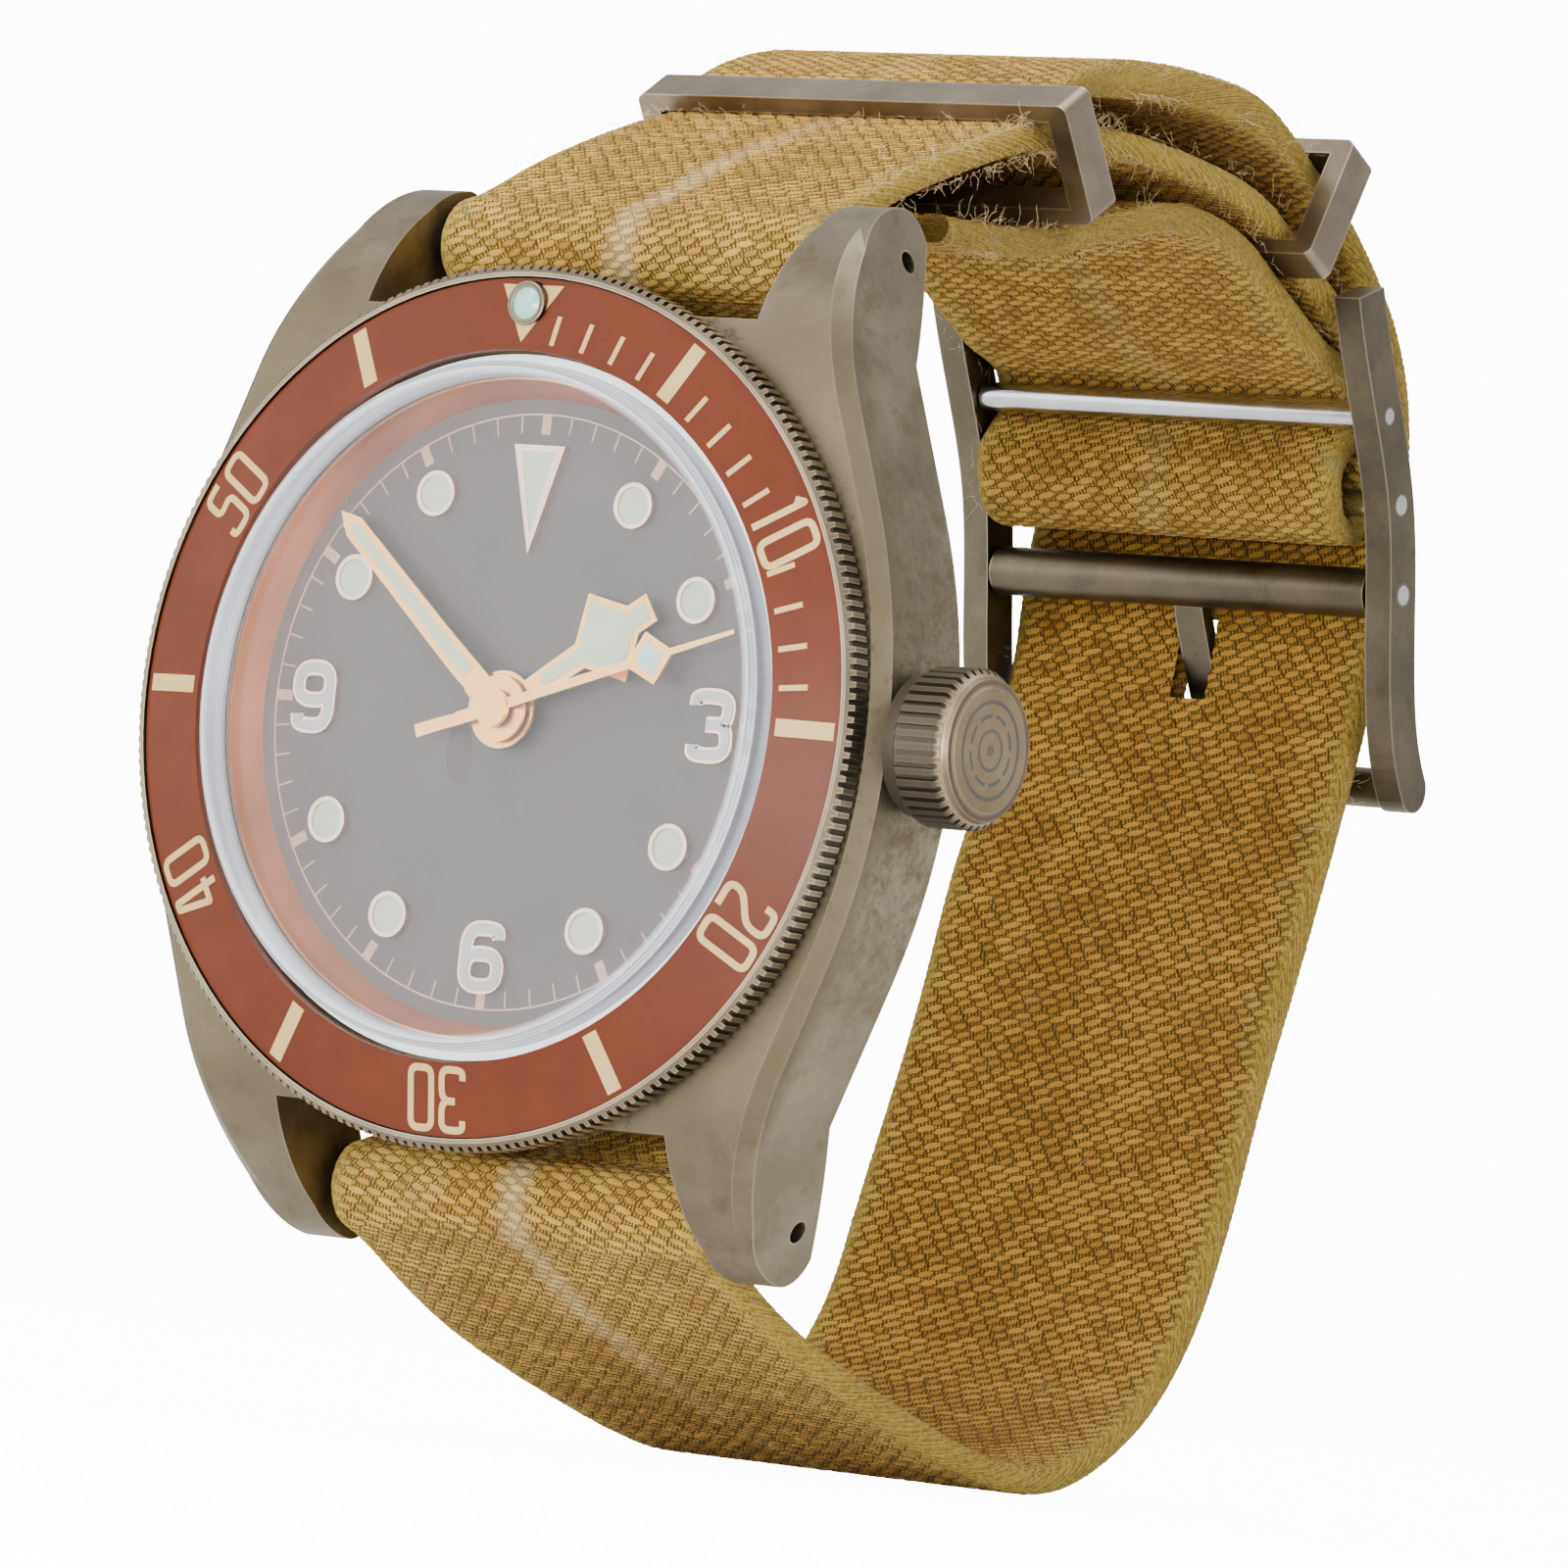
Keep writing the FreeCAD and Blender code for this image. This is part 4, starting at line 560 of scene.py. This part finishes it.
def set_light():
    """A white tent, a little darker behind, below and round the camera, with soft panels."""
    world = bpy.data.worlds.new("studio")
    bpy.context.scene.world = world
    world.use_nodes = True
    nodes, links = world.node_tree.nodes, world.node_tree.links
    coords = nodes.new("ShaderNodeTexCoord")
    lean = nodes.new("ShaderNodeVectorMath")
    lean.operation = "DOT_PRODUCT"
    lean.inputs[1].default_value = (-0.35, -0.45, 0.82)
    links.new(coords.outputs["Generated"], lean.inputs[0])
    level = nodes.new("ShaderNodeMapRange")
    level.inputs[1].default_value, level.inputs[2].default_value = -0.7, 0.8
    level.inputs[3].default_value, level.inputs[4].default_value = 0.5, 1.2
    links.new(lean.outputs["Value"], level.inputs[0])
    facing = nodes.new("ShaderNodeVectorMath")
    facing.operation = "DOT_PRODUCT"
    facing.inputs[1].default_value = (0.45, -0.89, 0.0)
    links.new(coords.outputs["Generated"], facing.inputs[0])
    hole = nodes.new("ShaderNodeMapRange")
    hole.inputs[1].default_value, hole.inputs[2].default_value = 0.80, 0.97
    hole.inputs[3].default_value, hole.inputs[4].default_value = 1.0, 0.3
    links.new(facing.outputs["Value"], hole.inputs[0])
    strength = nodes.new("ShaderNodeMath")
    strength.operation = "MULTIPLY"
    links.new(level.outputs[0], strength.inputs[0])
    links.new(hole.outputs[0], strength.inputs[1])
    links.new(strength.outputs[0], nodes["Background"].inputs["Strength"])
    nodes["Background"].inputs["Color"].default_value = (1.0, 1.0, 1.0, 1.0)
    area_light("front", (-0.417, -0.432, 0.03), (0, 0, 0), (0.46, 0.46), 1.6)
    area_light("key", (-0.10, -0.45, 0.45), (0, 0.01, 0), (0.35, 0.35), 2.2)
    area_light("side", (0.55, -0.10, 0.18), (0, 0.02, 0), (0.30, 0.40), 1.3)
    area_light("top", (0.05, 0.15, 0.50), (0, 0.02, 0), (0.40, 0.40), 1.6)
    area_light("low", (0.06, -0.30, -0.005), (0, 0.01, -0.012), (0.30, 0.05), 1.3)


def set_floor():
    """Pale floor that curves up far behind the watch."""
    t = Tree("floor_paint")
    grain = t.noise(t.place((0.02, 0.02, 0.02)), 2.0)
    t.set(Base_Color=t.mix(grain, (0.86, 0.86, 0.86), (0.9, 0.9, 0.9)), Roughness=0.8)
    seen = t.tree.nodes.new("ShaderNodeLightPath").outputs["Is Camera Ray"]
    t.link((1.0, 1.0, 1.0), t.shader.inputs["Emission Color"])
    t.link(t.math("MULTIPLY", seen, 12.0), t.shader.inputs["Emission Strength"])
    level = -0.0338
    rows = [(-1.5, level), (0.6, level)]
    for k in range(1, 13):
        angle = math.radians(90 * k / 12)
        rows.append((0.6 + 0.9 * math.sin(angle), level + 0.9 * (1 - math.cos(angle))))
    rows.append((1.5, 3.0))
    vertices = [(side * 3.0, y, z) for y, z in rows for side in (-1, 1)]
    faces = [(2 * i, 2 * i + 1, 2 * i + 3, 2 * i + 2) for i in range(len(rows) - 1)]
    mesh = bpy.data.meshes.new("floor")
    mesh.from_pydata(vertices, [], faces)
    for face in mesh.polygons:
        face.use_smooth = True
    mesh.materials.append(t.material)
    floor = bpy.data.objects.new("floor", mesh)
    bpy.context.scene.collection.objects.link(floor)


# ---------------------------------------------------------------- materials

BRONZE = metal("case_bronze", (0.280, 0.238, 0.165), (0.178, 0.146, 0.095), 0.36, (5, 5, 0.25), 0.006,
               (0.14, 0.105, 0.055), 0.53, 0.45, case_grime)
BEZEL_METAL = metal("bezel_bronze", (0.29, 0.235, 0.155), (0.18, 0.14, 0.09), 0.32, (2, 2, 2), 0.004,
                    (0.13, 0.11, 0.07), 0.56, 0.5, bezel_grime)
CROWN_METAL = metal("crown_bronze", (0.37, 0.285, 0.175), (0.23, 0.17, 0.10), 0.32, (2, 2, 2), 0.004,
                    (0.11, 0.085, 0.05), 0.58, 0.6, crown_grime)
BUCKLE_METAL = metal("buckle_bronze", (0.165, 0.138, 0.094), (0.10, 0.085, 0.058), 0.36, (3, 3, 0.4), 0.005,
                     (0.075, 0.066, 0.05), 0.56, 0.75)
KEEPER_METAL = metal("keeper_bronze", (0.33, 0.275, 0.205), (0.215, 0.175, 0.125), 0.34, (0.4, 3, 3), 0.005,
                     (0.15, 0.125, 0.085), 0.58, 0.7)
ROSE = metal("rose_gold", (1.0, 0.54, 0.18), (0.95, 0.48, 0.15), 0.26, (1, 6, 1), 0.0008)
ROSE_FRAME = metal("rose_frame", (0.86, 0.60, 0.46), (0.74, 0.48, 0.35), 0.26, (1, 6, 1), 0.002)
REHAUT = metal("rehaut_copper", (0.95, 0.40, 0.20), (0.82, 0.32, 0.15), 0.32, (1, 8, 1), 0.002)
STEEL = metal("polished_steel", (0.70, 0.71, 0.72), (0.5, 0.51, 0.53), 0.16, (0.3, 6, 6), 0.002)
DARK_STEEL = metal("dark_steel", (0.40, 0.41, 0.43), (0.26, 0.27, 0.29), 0.28, (2, 2, 2), 0.003)
BRASS = metal("wheel_brass", (0.66, 0.46, 0.17), (0.5, 0.33, 0.11), 0.25, (4, 1, 4), 0.003)
PLATE = metal("plate_metal", (0.60, 0.57, 0.49), (0.45, 0.43, 0.37), 0.3, (5, 1, 0.4), 0.003)
ROTOR = metal("rotor_metal", (0.55, 0.55, 0.55), (0.4, 0.4, 0.41), 0.27, (0.4, 1, 5), 0.004)
INSERT = paint("insert_red", (0.108, 0.024, 0.009), (0.090, 0.020, 0.0075), 0.30, 0.8, 0.002, shine=0.13)
DIAL = paint("dial_slate", (0.068, 0.052, 0.050), (0.056, 0.042, 0.041), 0.55, 2.0, 0.001, 0.1)
PRINT = paint("cream_print", (0.52, 0.35, 0.13), (0.46, 0.30, 0.11), 0.5, 2.0, 0.002)
ROSE_PRINT = paint("rose_print", (0.46, 0.29, 0.21), (0.38, 0.24, 0.17), 0.4, 2.0, 0.002, 0.3)
LUME = paint("lume", (0.47, 0.53, 0.38), (0.41, 0.47, 0.33), 0.5, 2.5, 0.004, shine=0.2)
PALE_LUME = paint("pale_lume", (0.42, 0.42, 0.40), (0.35, 0.35, 0.33), 0.5, 2.5, 0.004, shine=0.2)
PEARL = paint("pearl_lume", (0.30, 0.52, 0.42), (0.23, 0.43, 0.35), 0.25, 1.2, 0.004, 0.0, 0.4)
COOL_LUME = paint("cool_lume", (0.42, 0.56, 0.55), (0.36, 0.49, 0.48), 0.45, 2.5, 0.004)
RUBBER = paint("gasket_rubber", (0.03, 0.03, 0.03), (0.02, 0.02, 0.02), 0.7, 1.0, 0.004)
NYLON = paint("gasket_nylon", (0.82, 0.84, 0.86), (0.72, 0.74, 0.77), 0.3, 1.0, 0.004)
DARK_LINE = paint("engraved_line", (0.06, 0.058, 0.05), (0.04, 0.038, 0.034), 0.6, 1.0, 0.004)
CRYSTAL = glass("sapphire")
OUTER_CLOTH = fabric("strap_outside", True)
INNER_CLOTH = fabric("strap_inside", False)

FINISH = {
    "case_bronze": BRONZE,
    "bezel_bronze": BEZEL_METAL,
    "insert_red": INSERT,
    "lume": LUME,
    "sapphire": CRYSTAL,
    "gasket_rubber": RUBBER,
    "gasket_nylon": NYLON,
    "rehaut_copper": REHAUT,
    "dial_slate": DIAL,
    "marker_gold": ROSE,
    "hand_gold": ROSE,
    "plate_metal": PLATE,
    "wheel_brass": BRASS,
    "dark_steel": DARK_STEEL,
    "rotor_metal": ROTOR,
    "strap_fabric": OUTER_CLOTH,
    "polished_steel": STEEL,
    "buckle_bronze": BUCKLE_METAL,
}


def dress_nodes():
    """Each CAD node takes the material of its slot, and sharp metal edges get a small round."""
    for entry in frame["record"]["subparts"]:
        dress(entry["node"], FINISH[entry["material_slot"]])
    dress("crown", CROWN_METAL)
    dress("bezel_pearl", PEARL)
    dress("keeper_front", KEEPER_METAL)
    dress("keeper_rear", KEEPER_METAL)
    edges = {
        "case_middle": 0.22, "bezel_ring": 0.04, "crown": 0.05, "buckle_frame": 0.2,
        "keeper_front": 0.16, "keeper_rear": 0.16, "hour_hand": 0.03, "minute_hand": 0.03,
        "seconds_hand": 0.03, "case_back": 0.15,
    }
    for node, width in edges.items():
        made = NODES[node]
        bevel = made.modifiers.new("edge", "BEVEL")
        bevel.width = width * MM
        bevel.segments = 3
        bevel.limit_method = "ANGLE"
        bevel.angle_limit = math.radians(32)
        bevel.harden_normals = True


# ---------------------------------------------------------------- dial, hands, bezel


def flat(level):
    """A level that is the same everywhere."""
    return lambda x, z: level


def insert_level(x, z):
    """Level of the insert's sloping face, and a little above it."""
    share = (math.hypot(x, z) - INSERT_INNER) / (INSERT_OUTER - INSERT_INNER)
    return INSERT_HIGH - share * (INSERT_HIGH - INSERT_LOW) + 0.002


def make_dial_print():
    """The minute track: a thin ring with a mark for each minute."""
    track = Relief(flat(DIAL_FACE), 0.02)
    track.ring((0, 0), 13.83, 13.91, steps=180)
    for minute in range(60):
        width, inner = (0.5, 12.93) if minute % 5 == 0 else (0.08, 13.0)
        band = [(-width / 2, inner), (-width / 2, 13.82), (width / 2, 13.82), (width / 2, inner)]
        track.polygon(turn(band, 6 * minute))
    track.make("dial_minute_track", ROSE_PRINT, "case")


def dial_numeral(relief, kind, x, z, stroke, lift):
    """A numeral round (x, z). Its crossing strokes differ a little in height."""
    for layer, (line, closed) in enumerate(numeral(kind, 1.88, 2.72, 0.85)):
        placed = [(x + px, z + py) for px, py in line]
        relief.stroke(placed, stroke, closed, lift + 0.006 * layer)


def make_markers():
    """Gold frames and luminous fillings of the applied hour markers."""
    rims = Relief(flat(DIAL_FACE), 0.36, 0.03)
    fills = Relief(flat(DIAL_FACE), 0.30)
    pale = Relief(flat(DIAL_FACE), 0.30)
    for hour in (1, 2, 4, 5, 7, 8, 10, 11):
        centre = clock(11.37, 30 * hour)
        rims.ring(centre, 0.88, 1.08)
        fills.dome(centre, 0.9, 0.24, 0.36)
    outer, inner = [(-1.45, 12.38), (1.45, 12.38), (0, 7.27)], [(-1.0, 12.1), (1.0, 12.1), (0, 8.1)]
    rims.strip(outer, inner, True)
    fills.polygon([(-1.04, 12.14), (1.04, 12.14), (0, 7.98)])
    for kind, x, z in (("3", 11.45, 0), ("6", 0, -11.45), ("9", -11.45, 0)):
        dial_numeral(rims, kind, x, z, 0.74, 0.3)
        dial_numeral(pale, kind, x, z, 0.44, 0.33)
    made = rims.make("marker_rims", ROSE_FRAME, "case")
    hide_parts("hour_markers")
    fills.make("marker_lume", LUME, "case")
    pale.make("numeral_lume", PALE_LUME, "case")


def mirror(half):
    """A closed symmetric outline from its right half, hub to tip."""
    return half + [(-s, f) for s, f in reversed(half) if s > 0]


def make_hand_fills():
    """Luminous fillings a little above the hands, turned to the angles that the hands rest at."""
    hour = [(0.26, 2.45), (0.35, 5.0), (1.93, 6.6), (0.44, 8.1), (0.44, 9.12)]
    minute = [(0.30, 2.3), (0.25, 12.2), (0.0, 12.75)]
    diamond = [(0.02, 8.3), (0.86, 9.05), (0.02, 9.75)]
    fills = {
        "hour": ("hours_train", 12.24, 56.5, hour, LUME),
        "minute": ("minutes_train", 12.60, 310.0, minute, LUME),
        "seconds": ("seconds_train", 12.98, 72.0, diamond, COOL_LUME),
    }
    for name, (body, level, angle, half, material) in fills.items():
        relief = Relief(flat(level), 0.03, 0.008)
        relief.polygon(turn(mirror(half), angle))
        relief.make(f"{name}_hand_lume", material, body)


def bezel_number(relief, text, minute):
    """A number on the insert, its top outwards."""
    width, gap, height, middle = 1.2, 0.6, 2.76, 18.25
    shift = (width + gap) / 2
    for side, kind in ((-1, text[0]), (1, text[1])):
        start = side * shift + (0.35 if kind == "1" else 0.0)
        for layer, (line, closed) in enumerate(numeral(kind, width, height, 0.42)):
            placed = [(start + x, middle + z) for x, z in line]
            relief.stroke(turn(placed, 6 * minute), 0.34, closed, 0.012 + 0.003 * layer)


def make_bezel_print():
    """The bezel's scale, and the ring that holds the pearl."""
    relief = Relief(insert_level, 0.012)
    for minute in range(60):
        angle = 6 * minute
        if minute % 10 == 0 and minute:
            bezel_number(relief, str(minute), minute)
        elif minute % 5 == 0 and minute:
            bar = [(-0.40, 16.85), (-0.40, 19.75), (0.40, 19.75), (0.40, 16.85)]
            relief.polygon(turn(bar, angle))
        elif 0 < minute < 15:
            bar = [(-0.13, 16.9), (-0.13, 18.3), (0.13, 18.3), (0.13, 16.9)]
            relief.polygon(turn(bar, angle))
    relief.polygon([(-1.75, 19.65), (1.75, 19.65), (0, 16.92)])
    relief.make("bezel_scale", PRINT, "bezel")
    setting = Relief(flat(BEZEL_LIP), 0.4, 0.05)
    setting.ring((0, 18.75), 0.76, 1.04)
    setting.make("pearl_setting", BUCKLE_METAL, "bezel")


def make_crown_face():
    """Plain dark circles and arcs on the crown's end."""
    vertices, faces = [], []
    low, high = CROWN_FACE - 0.01, CROWN_FACE + 0.006
    arcs = [(0.0, 0.26, 0, 360), (0.82, 0.98, 0, 360), (2.12, 2.30, 0, 360)]
    arcs += [(1.48, 1.66, 45 * k + 6, 45 * k + 39) for k in range(8)]
    for inner, outer, first, last in arcs:
        steps = max(6, round((last - first) / 5))
        start = len(vertices)
        for k in range(steps + 1):
            y, z = clock(1.0, first + (last - first) * k / steps)
            for radius, x in ((inner, low), (inner, high), (outer, high), (outer, low)):
                vertices.append((x, radius * y - CROWN_AXIS, radius * z))
        for k in range(steps):
            here, after = start + 4 * k, start + 4 * (k + 1)
            for side in range(3):
                faces.append((here + side, here + side + 1, after + side + 1, after + side))
    new_object("crown_face_rings", vertices, faces, DARK_LINE, "crown_group")


# ---------------------------------------------------------------- strap

# (Y, Z) points along the middle of the cloth, from the lug bars.
CENTRE = [(-6.4, -20.85), (-5.6, -20.85), (-3.4, -20.15), (-1.9, -18.2), (-1.0, -15.4), (-0.65, -12.0),
          (-0.65, -6.0), (-0.65, 0.0), (-0.65, 6.0), (-0.65, 12.0), (-1.0, 15.4), (-1.9, 18.2),
          (-3.4, 20.15), (-5.6, 20.85), (-6.4, 20.85)]
UPPER = [(-5.6, 20.85), (-6.77, 21.33), (-7.25, 22.5), (-6.77, 23.67), (-5.6, 24.2), (-4.1, 24.95),
         (-2.0, 26.1), (1.0, 27.5), (4.4, 28.9), (7.5, 30.05), (9.3, 30.6), (12.0, 31.0), (14.5, 31.25),
         (17.5, 31.5), (21.0, 31.4), (24.9, 31.15), (28.2, 30.75), (30.5, 30.15), (32.4, 29.24),
         (34.3, 28.2), (36.4, 27.05), (38.8, 25.6), (40.7, 24.2), (41.85, 22.7), (42.35, 21.0),
         (42.6, 19.2), (42.72, 17.4), (42.3, 16.25), (41.2, 15.7), (40.05, 16.15), (39.45, 17.4),
         (39.3, 18.6), (39.9, 19.6), (40.6, 20.6), (40.6, 21.9), (39.9, 23.0), (38.5, 23.65),
         (36.8, 24.1), (34.7, 25.07), (33.0, 25.97), (31.1, 27.0), (29.2, 27.95), (26.8, 28.6),
         (24.0, 28.85), (21.5, 28.6), (18.8, 27.9), (15.5, 26.95), (12.0, 25.95), (8.5, 25.5),
         (5.5, 25.3), (2.8, 25.2)]
LOWER = [(-5.6, -20.85), (-6.77, -21.33), (-7.25, -22.5), (-6.77, -23.67), (-5.6, -24.2), (-4.1, -24.95),
         (-1.8, -26.2), (1.2, -27.6), (6.2, -29.4), (11.5, -31.0), (16.6, -32.3), (20.3, -32.9),
         (24.3, -32.7), (28.0, -31.3), (31.8, -28.6), (34.3, -25.0), (35.9, -21.0), (37.4, -16.5),
         (38.7, -12.0), (39.8, -8.0), (41.1, -3.5), (42.3, 0.0), (43.6, 4.2), (44.4, 8.5), (44.75, 12.8),
         (45.3, 16.6), (45.3, 20.2), (44.6, 22.9), (43.1, 25.4), (40.8, 27.8), (38.5, 29.75),
         (36.4, 31.3), (34.35, 32.4), (32.0, 33.65), (28.4, 34.8), (23.4, 35.1), (18.6, 34.85),
         (16.0, 34.5), (14.0, 34.05), (12.3, 33.35), (11.0, 32.6)]
HALF = 10.9
THICK = 1.35
SELVEDGE = 0.6


def spline(points, step):
    """Evenly spaced points of a smooth line through points, with unit tangents."""
    given = np.array(points, float)
    chord = run_length(given)
    slopes = np.gradient(given, chord, axis=0)
    fine = np.linspace(0, chord[-1], int(chord[-1] * 12))
    index = np.clip(np.searchsorted(chord, fine, "right") - 1, 0, len(given) - 2)
    span = (chord[index + 1] - chord[index])[:, None]
    s = (fine - chord[index])[:, None] / span
    line = (
        (2 * s**3 - 3 * s**2 + 1) * given[index]
        + (s**3 - 2 * s**2 + s) * span * slopes[index]
        + (3 * s**2 - 2 * s**3) * given[index + 1]
        + (s**3 - s**2) * span * slopes[index + 1]
    )
    length = run_length(line)
    even = np.linspace(0, length[-1], max(4, int(length[-1] / step)))
    places = np.stack([np.interp(even, length, line[:, k]) for k in (0, 1)], 1)
    tangents = np.gradient(places, even, axis=0)
    tangents /= np.linalg.norm(tangents, axis=1)[:, None]
    return places, tangents


def run_length(line):
    """Length along a line up to each of its points."""
    return np.concatenate(([0.0], np.cumsum(np.hypot(*np.diff(line, axis=0).T))))


def weave_height(across, forward):
    """Height of the weave, 0 to 1, at millimetres across and along, as in the cloth's material."""
    rows = forward / ROW
    columns = across / PERIOD + np.floor(rows) * SHIFT
    in_dash = (columns % 1 - 0.5) * PERIOD
    in_row = (rows % 1 - 0.5) * ROW - 0.2 * in_dash
    reach = np.abs(in_dash / FLOAT) ** 2.6 + np.abs(in_row / FLOAT_HIGH) ** 2.2
    return np.clip((1.2 - reach) / 0.7, 0, 1)


def strap_piece(name, points, node, outer_sign, slot=None, swell=None):
    """A woven strip with rounded selvedges along a line of (Y, Z) points. outer_sign says on which side of
    the line the outer face is. swell says where it is thicker: first Y, last Y, least Z, extra thickness."""
    places, tangents = spline(points, 0.13)
    normals = np.stack([-tangents[:, 1], tangents[:, 0]], 1) * outer_sign
    columns, turns = 130, 8
    level = np.linspace(-HALF + SELVEDGE, HALF - SELVEDGE, columns)
    bend = np.radians(np.linspace(78, -78, turns))
    edge_x, edge_h = HALF - SELVEDGE + SELVEDGE * np.cos(bend), (THICK / 2) * np.sin(bend)
    top = np.full(columns, THICK / 2)
    section_x = np.concatenate([level, edge_x, level[::-1], -edge_x[::-1]])
    section_h = np.concatenate([top, edge_h, -top, edge_h[::-1]])
    stations, around = len(places), len(section_x)
    faces = [run_length(places + normals * side * THICK / 2) for side in (1, -1)]
    share = 0.5 + section_h / THICK
    forward = faces[0][:, None] * share + faces[1][:, None] * (1 - share)
    across = np.ones((stations, 1)) * section_x
    on_face = np.abs(across) < HALF - 0.7
    weave = (weave_height(across, forward) - 0.5) * 0.08 * on_face
    ribs = 0.012 * np.cos(2 * np.pi * forward / RIB) * ~on_face
    lift = weave + ribs + RNG.normal(0, 0.008, weave.shape)
    full = np.ones(stations)
    if swell:
        low, high, floor, extra = swell
        before, after = (low - places[:, 0]) * 1.5, (places[:, 0] - high) * 1.5
        inside = (places[:, 1] > floor) / (1 + np.exp(before) + np.exp(after))
        full = 1 + extra / THICK * inside
    drift = 0.10 * np.sin(forward * 0.35 + 1.3) * (np.abs(across) / HALF) ** 6
    height = section_h * full[:, None] * (1 + lift / (THICK / 2))
    spread = across * (1 + drift / HALF) + np.sign(across) * ~on_face * lift
    co = np.empty((stations, around, 3))
    co[:, :, 0] = spread
    co[:, :, 1] = places[:, 0:1] + normals[:, 0:1] * height
    co[:, :, 2] = places[:, 1:2] + normals[:, 1:2] * height
    a = np.arange(stations - 1)[:, None] * around
    b = np.arange(around)[None, :]
    c = (b + 1) % around
    quads = np.stack([a + b, a + c, a + around + c, a + around + b], 2).reshape(-1, 4)
    mesh = bpy.data.meshes.new(name)
    caps = [list(range(around)), list(range((stations - 1) * around, stations * around))[::-1]]
    mesh.from_pydata((co.reshape(-1, 3) * MM).tolist(), [], quads.tolist() + caps)
    uv = mesh.uv_layers.new(name="UVMap")
    loops = np.empty(len(mesh.loops), np.int32)
    mesh.loops.foreach_get("vertex_index", loops)
    flat_uv = np.stack([across.reshape(-1), forward.reshape(-1)], 1)[loops]
    uv.data.foreach_set("uv", flat_uv.reshape(-1))
    mesh.materials.append(OUTER_CLOTH)
    mesh.materials.append(INNER_CLOTH)
    turn_in, turn_out = columns + turns // 2, 2 * columns + 3 * turns // 2
    inside = np.tile((np.arange(around) >= turn_in) & (np.arange(around) < turn_out), stations - 1)
    mesh.polygons.foreach_set("material_index", np.append(inside, [False, False]).astype(np.int32))
    mesh.polygons.foreach_set("use_smooth", np.ones(len(mesh.polygons), bool))
    mesh.update()
    made = bpy.data.objects.new(name, mesh)
    bpy.context.scene.collection.objects.link(made)
    if slot:
        cut_slot(made, slot)
    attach(made, "case")
    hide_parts(node)
    return places, normals


def cut_slot(strap, box):
    """Cuts the tongue's hole through the strap."""
    (x0, y0, z0), (x1, y1, z1) = box
    corners = [(x, y, z) for x in (x0, x1) for y in (y0, y1) for z in (z0, z1)]
    faces = [(0, 1, 3, 2), (4, 6, 7, 5), (0, 4, 5, 1), (2, 3, 7, 6), (0, 2, 6, 4), (1, 5, 7, 3)]
    mesh = bpy.data.meshes.new("slot_tool")
    mesh.from_pydata([tuple(MM * c for c in p) for p in corners], [], faces)
    tool = bpy.data.objects.new("slot_tool", mesh)
    bpy.context.scene.collection.objects.link(tool)
    cut = strap.modifiers.new("slot", "BOOLEAN")
    cut.object = tool
    cut.operation = "DIFFERENCE"
    bpy.context.view_layer.update()
    shape = strap.evaluated_get(bpy.context.evaluated_depsgraph_get())
    result = bpy.data.meshes.new_from_object(shape)
    strap.modifiers.clear()
    strap.data = result
    bpy.data.objects.remove(tool)


def add_fuzz(lines, count):
    """Loose curled fibres that stand off the strap. Each line comes with the Y and Z span to use."""
    data = bpy.data.curves.new("strap_fuzz", "CURVE")
    data.dimensions = "3D"
    data.bevel_depth = 0.0065 * MM
    data.bevel_resolution = 0
    data.resolution_u = 4
    spots = []
    for places, normals, (y0, y1, z0, z1) in lines:
        inside = (places[:, 0] > y0) & (places[:, 0] < y1) & (places[:, 1] > z0) & (places[:, 1] < z1)
        spots.append((places[inside], normals[inside]))
    for number in range(count):
        places, normals = spots[number % len(spots)]
        k = random.randrange(len(places))
        side = random.choice((-1, 1))
        on_edge = random.random() < 0.6
        x = side * (HALF - 0.05) if on_edge else random.uniform(-HALF, HALF)
        out = random.choice((-1, 1)) * THICK / 2
        place = np.array([x, places[k][0] + normals[k][0] * out, places[k][1] + normals[k][1] * out])
        away = np.array([side * random.uniform(0, 1) * on_edge, normals[k][0] * out, normals[k][1] * out])
        away /= np.linalg.norm(away)
        step = random.uniform(0.08, 0.32)
        heading = away * 0.8 + RNG.normal(0, 0.5, 3)
        path = data.splines.new("NURBS")
        path.points.add(4)
        path.order_u = 3
        path.use_endpoint_u = True
        for point in path.points:
            point.co = (*(MM * c for c in place), 1.0)
            heading = heading / np.linalg.norm(heading) + RNG.normal(0, 0.45, 3)
            place = place + heading / np.linalg.norm(heading) * step
    t = Tree("fibre")
    tone = t.mix(t.noise(t.place(), 0.6), (0.60, 0.42, 0.18), (0.80, 0.64, 0.36))
    data.materials.append(t.set(Base_Color=tone, Roughness=0.9))
    made = bpy.data.objects.new("strap_fuzz", data)
    bpy.context.scene.collection.objects.link(made)
    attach(made, "case")


def make_straps():
    """The strap's three lengths, and the loose fibres on the stretches that are most worn."""
    slot = ((-0.6, 43.0, 7.0), (1.5, 46.4, 11.2))
    upper = strap_piece("strap_upper_cloth", UPPER, "strap_upper", 1)
    lower = strap_piece("strap_lower_cloth", LOWER, "strap_lower", -1, slot=slot, swell=(15, 31, 33, 0.5))
    strap_piece("strap_centre_cloth", CENTRE[1:-1], "strap_centre", 1)
    lines = [
        (*upper, (-4, 8, 24, 31)), (*upper, (5, 20, 24, 32)), (*upper, (6, 16, 30, 32)),
        (*upper, (12, 40, 14, 32)), (*lower, (10, 34, 32, 36)), (*lower, (30, 46, -25, 30)),
    ]
    add_fuzz(lines, 2800)


set_camera()
set_light()
set_floor()
dress_nodes()
make_dial_print()
make_markers()
make_hand_fills()
make_bezel_print()
make_crown_face()
make_straps()
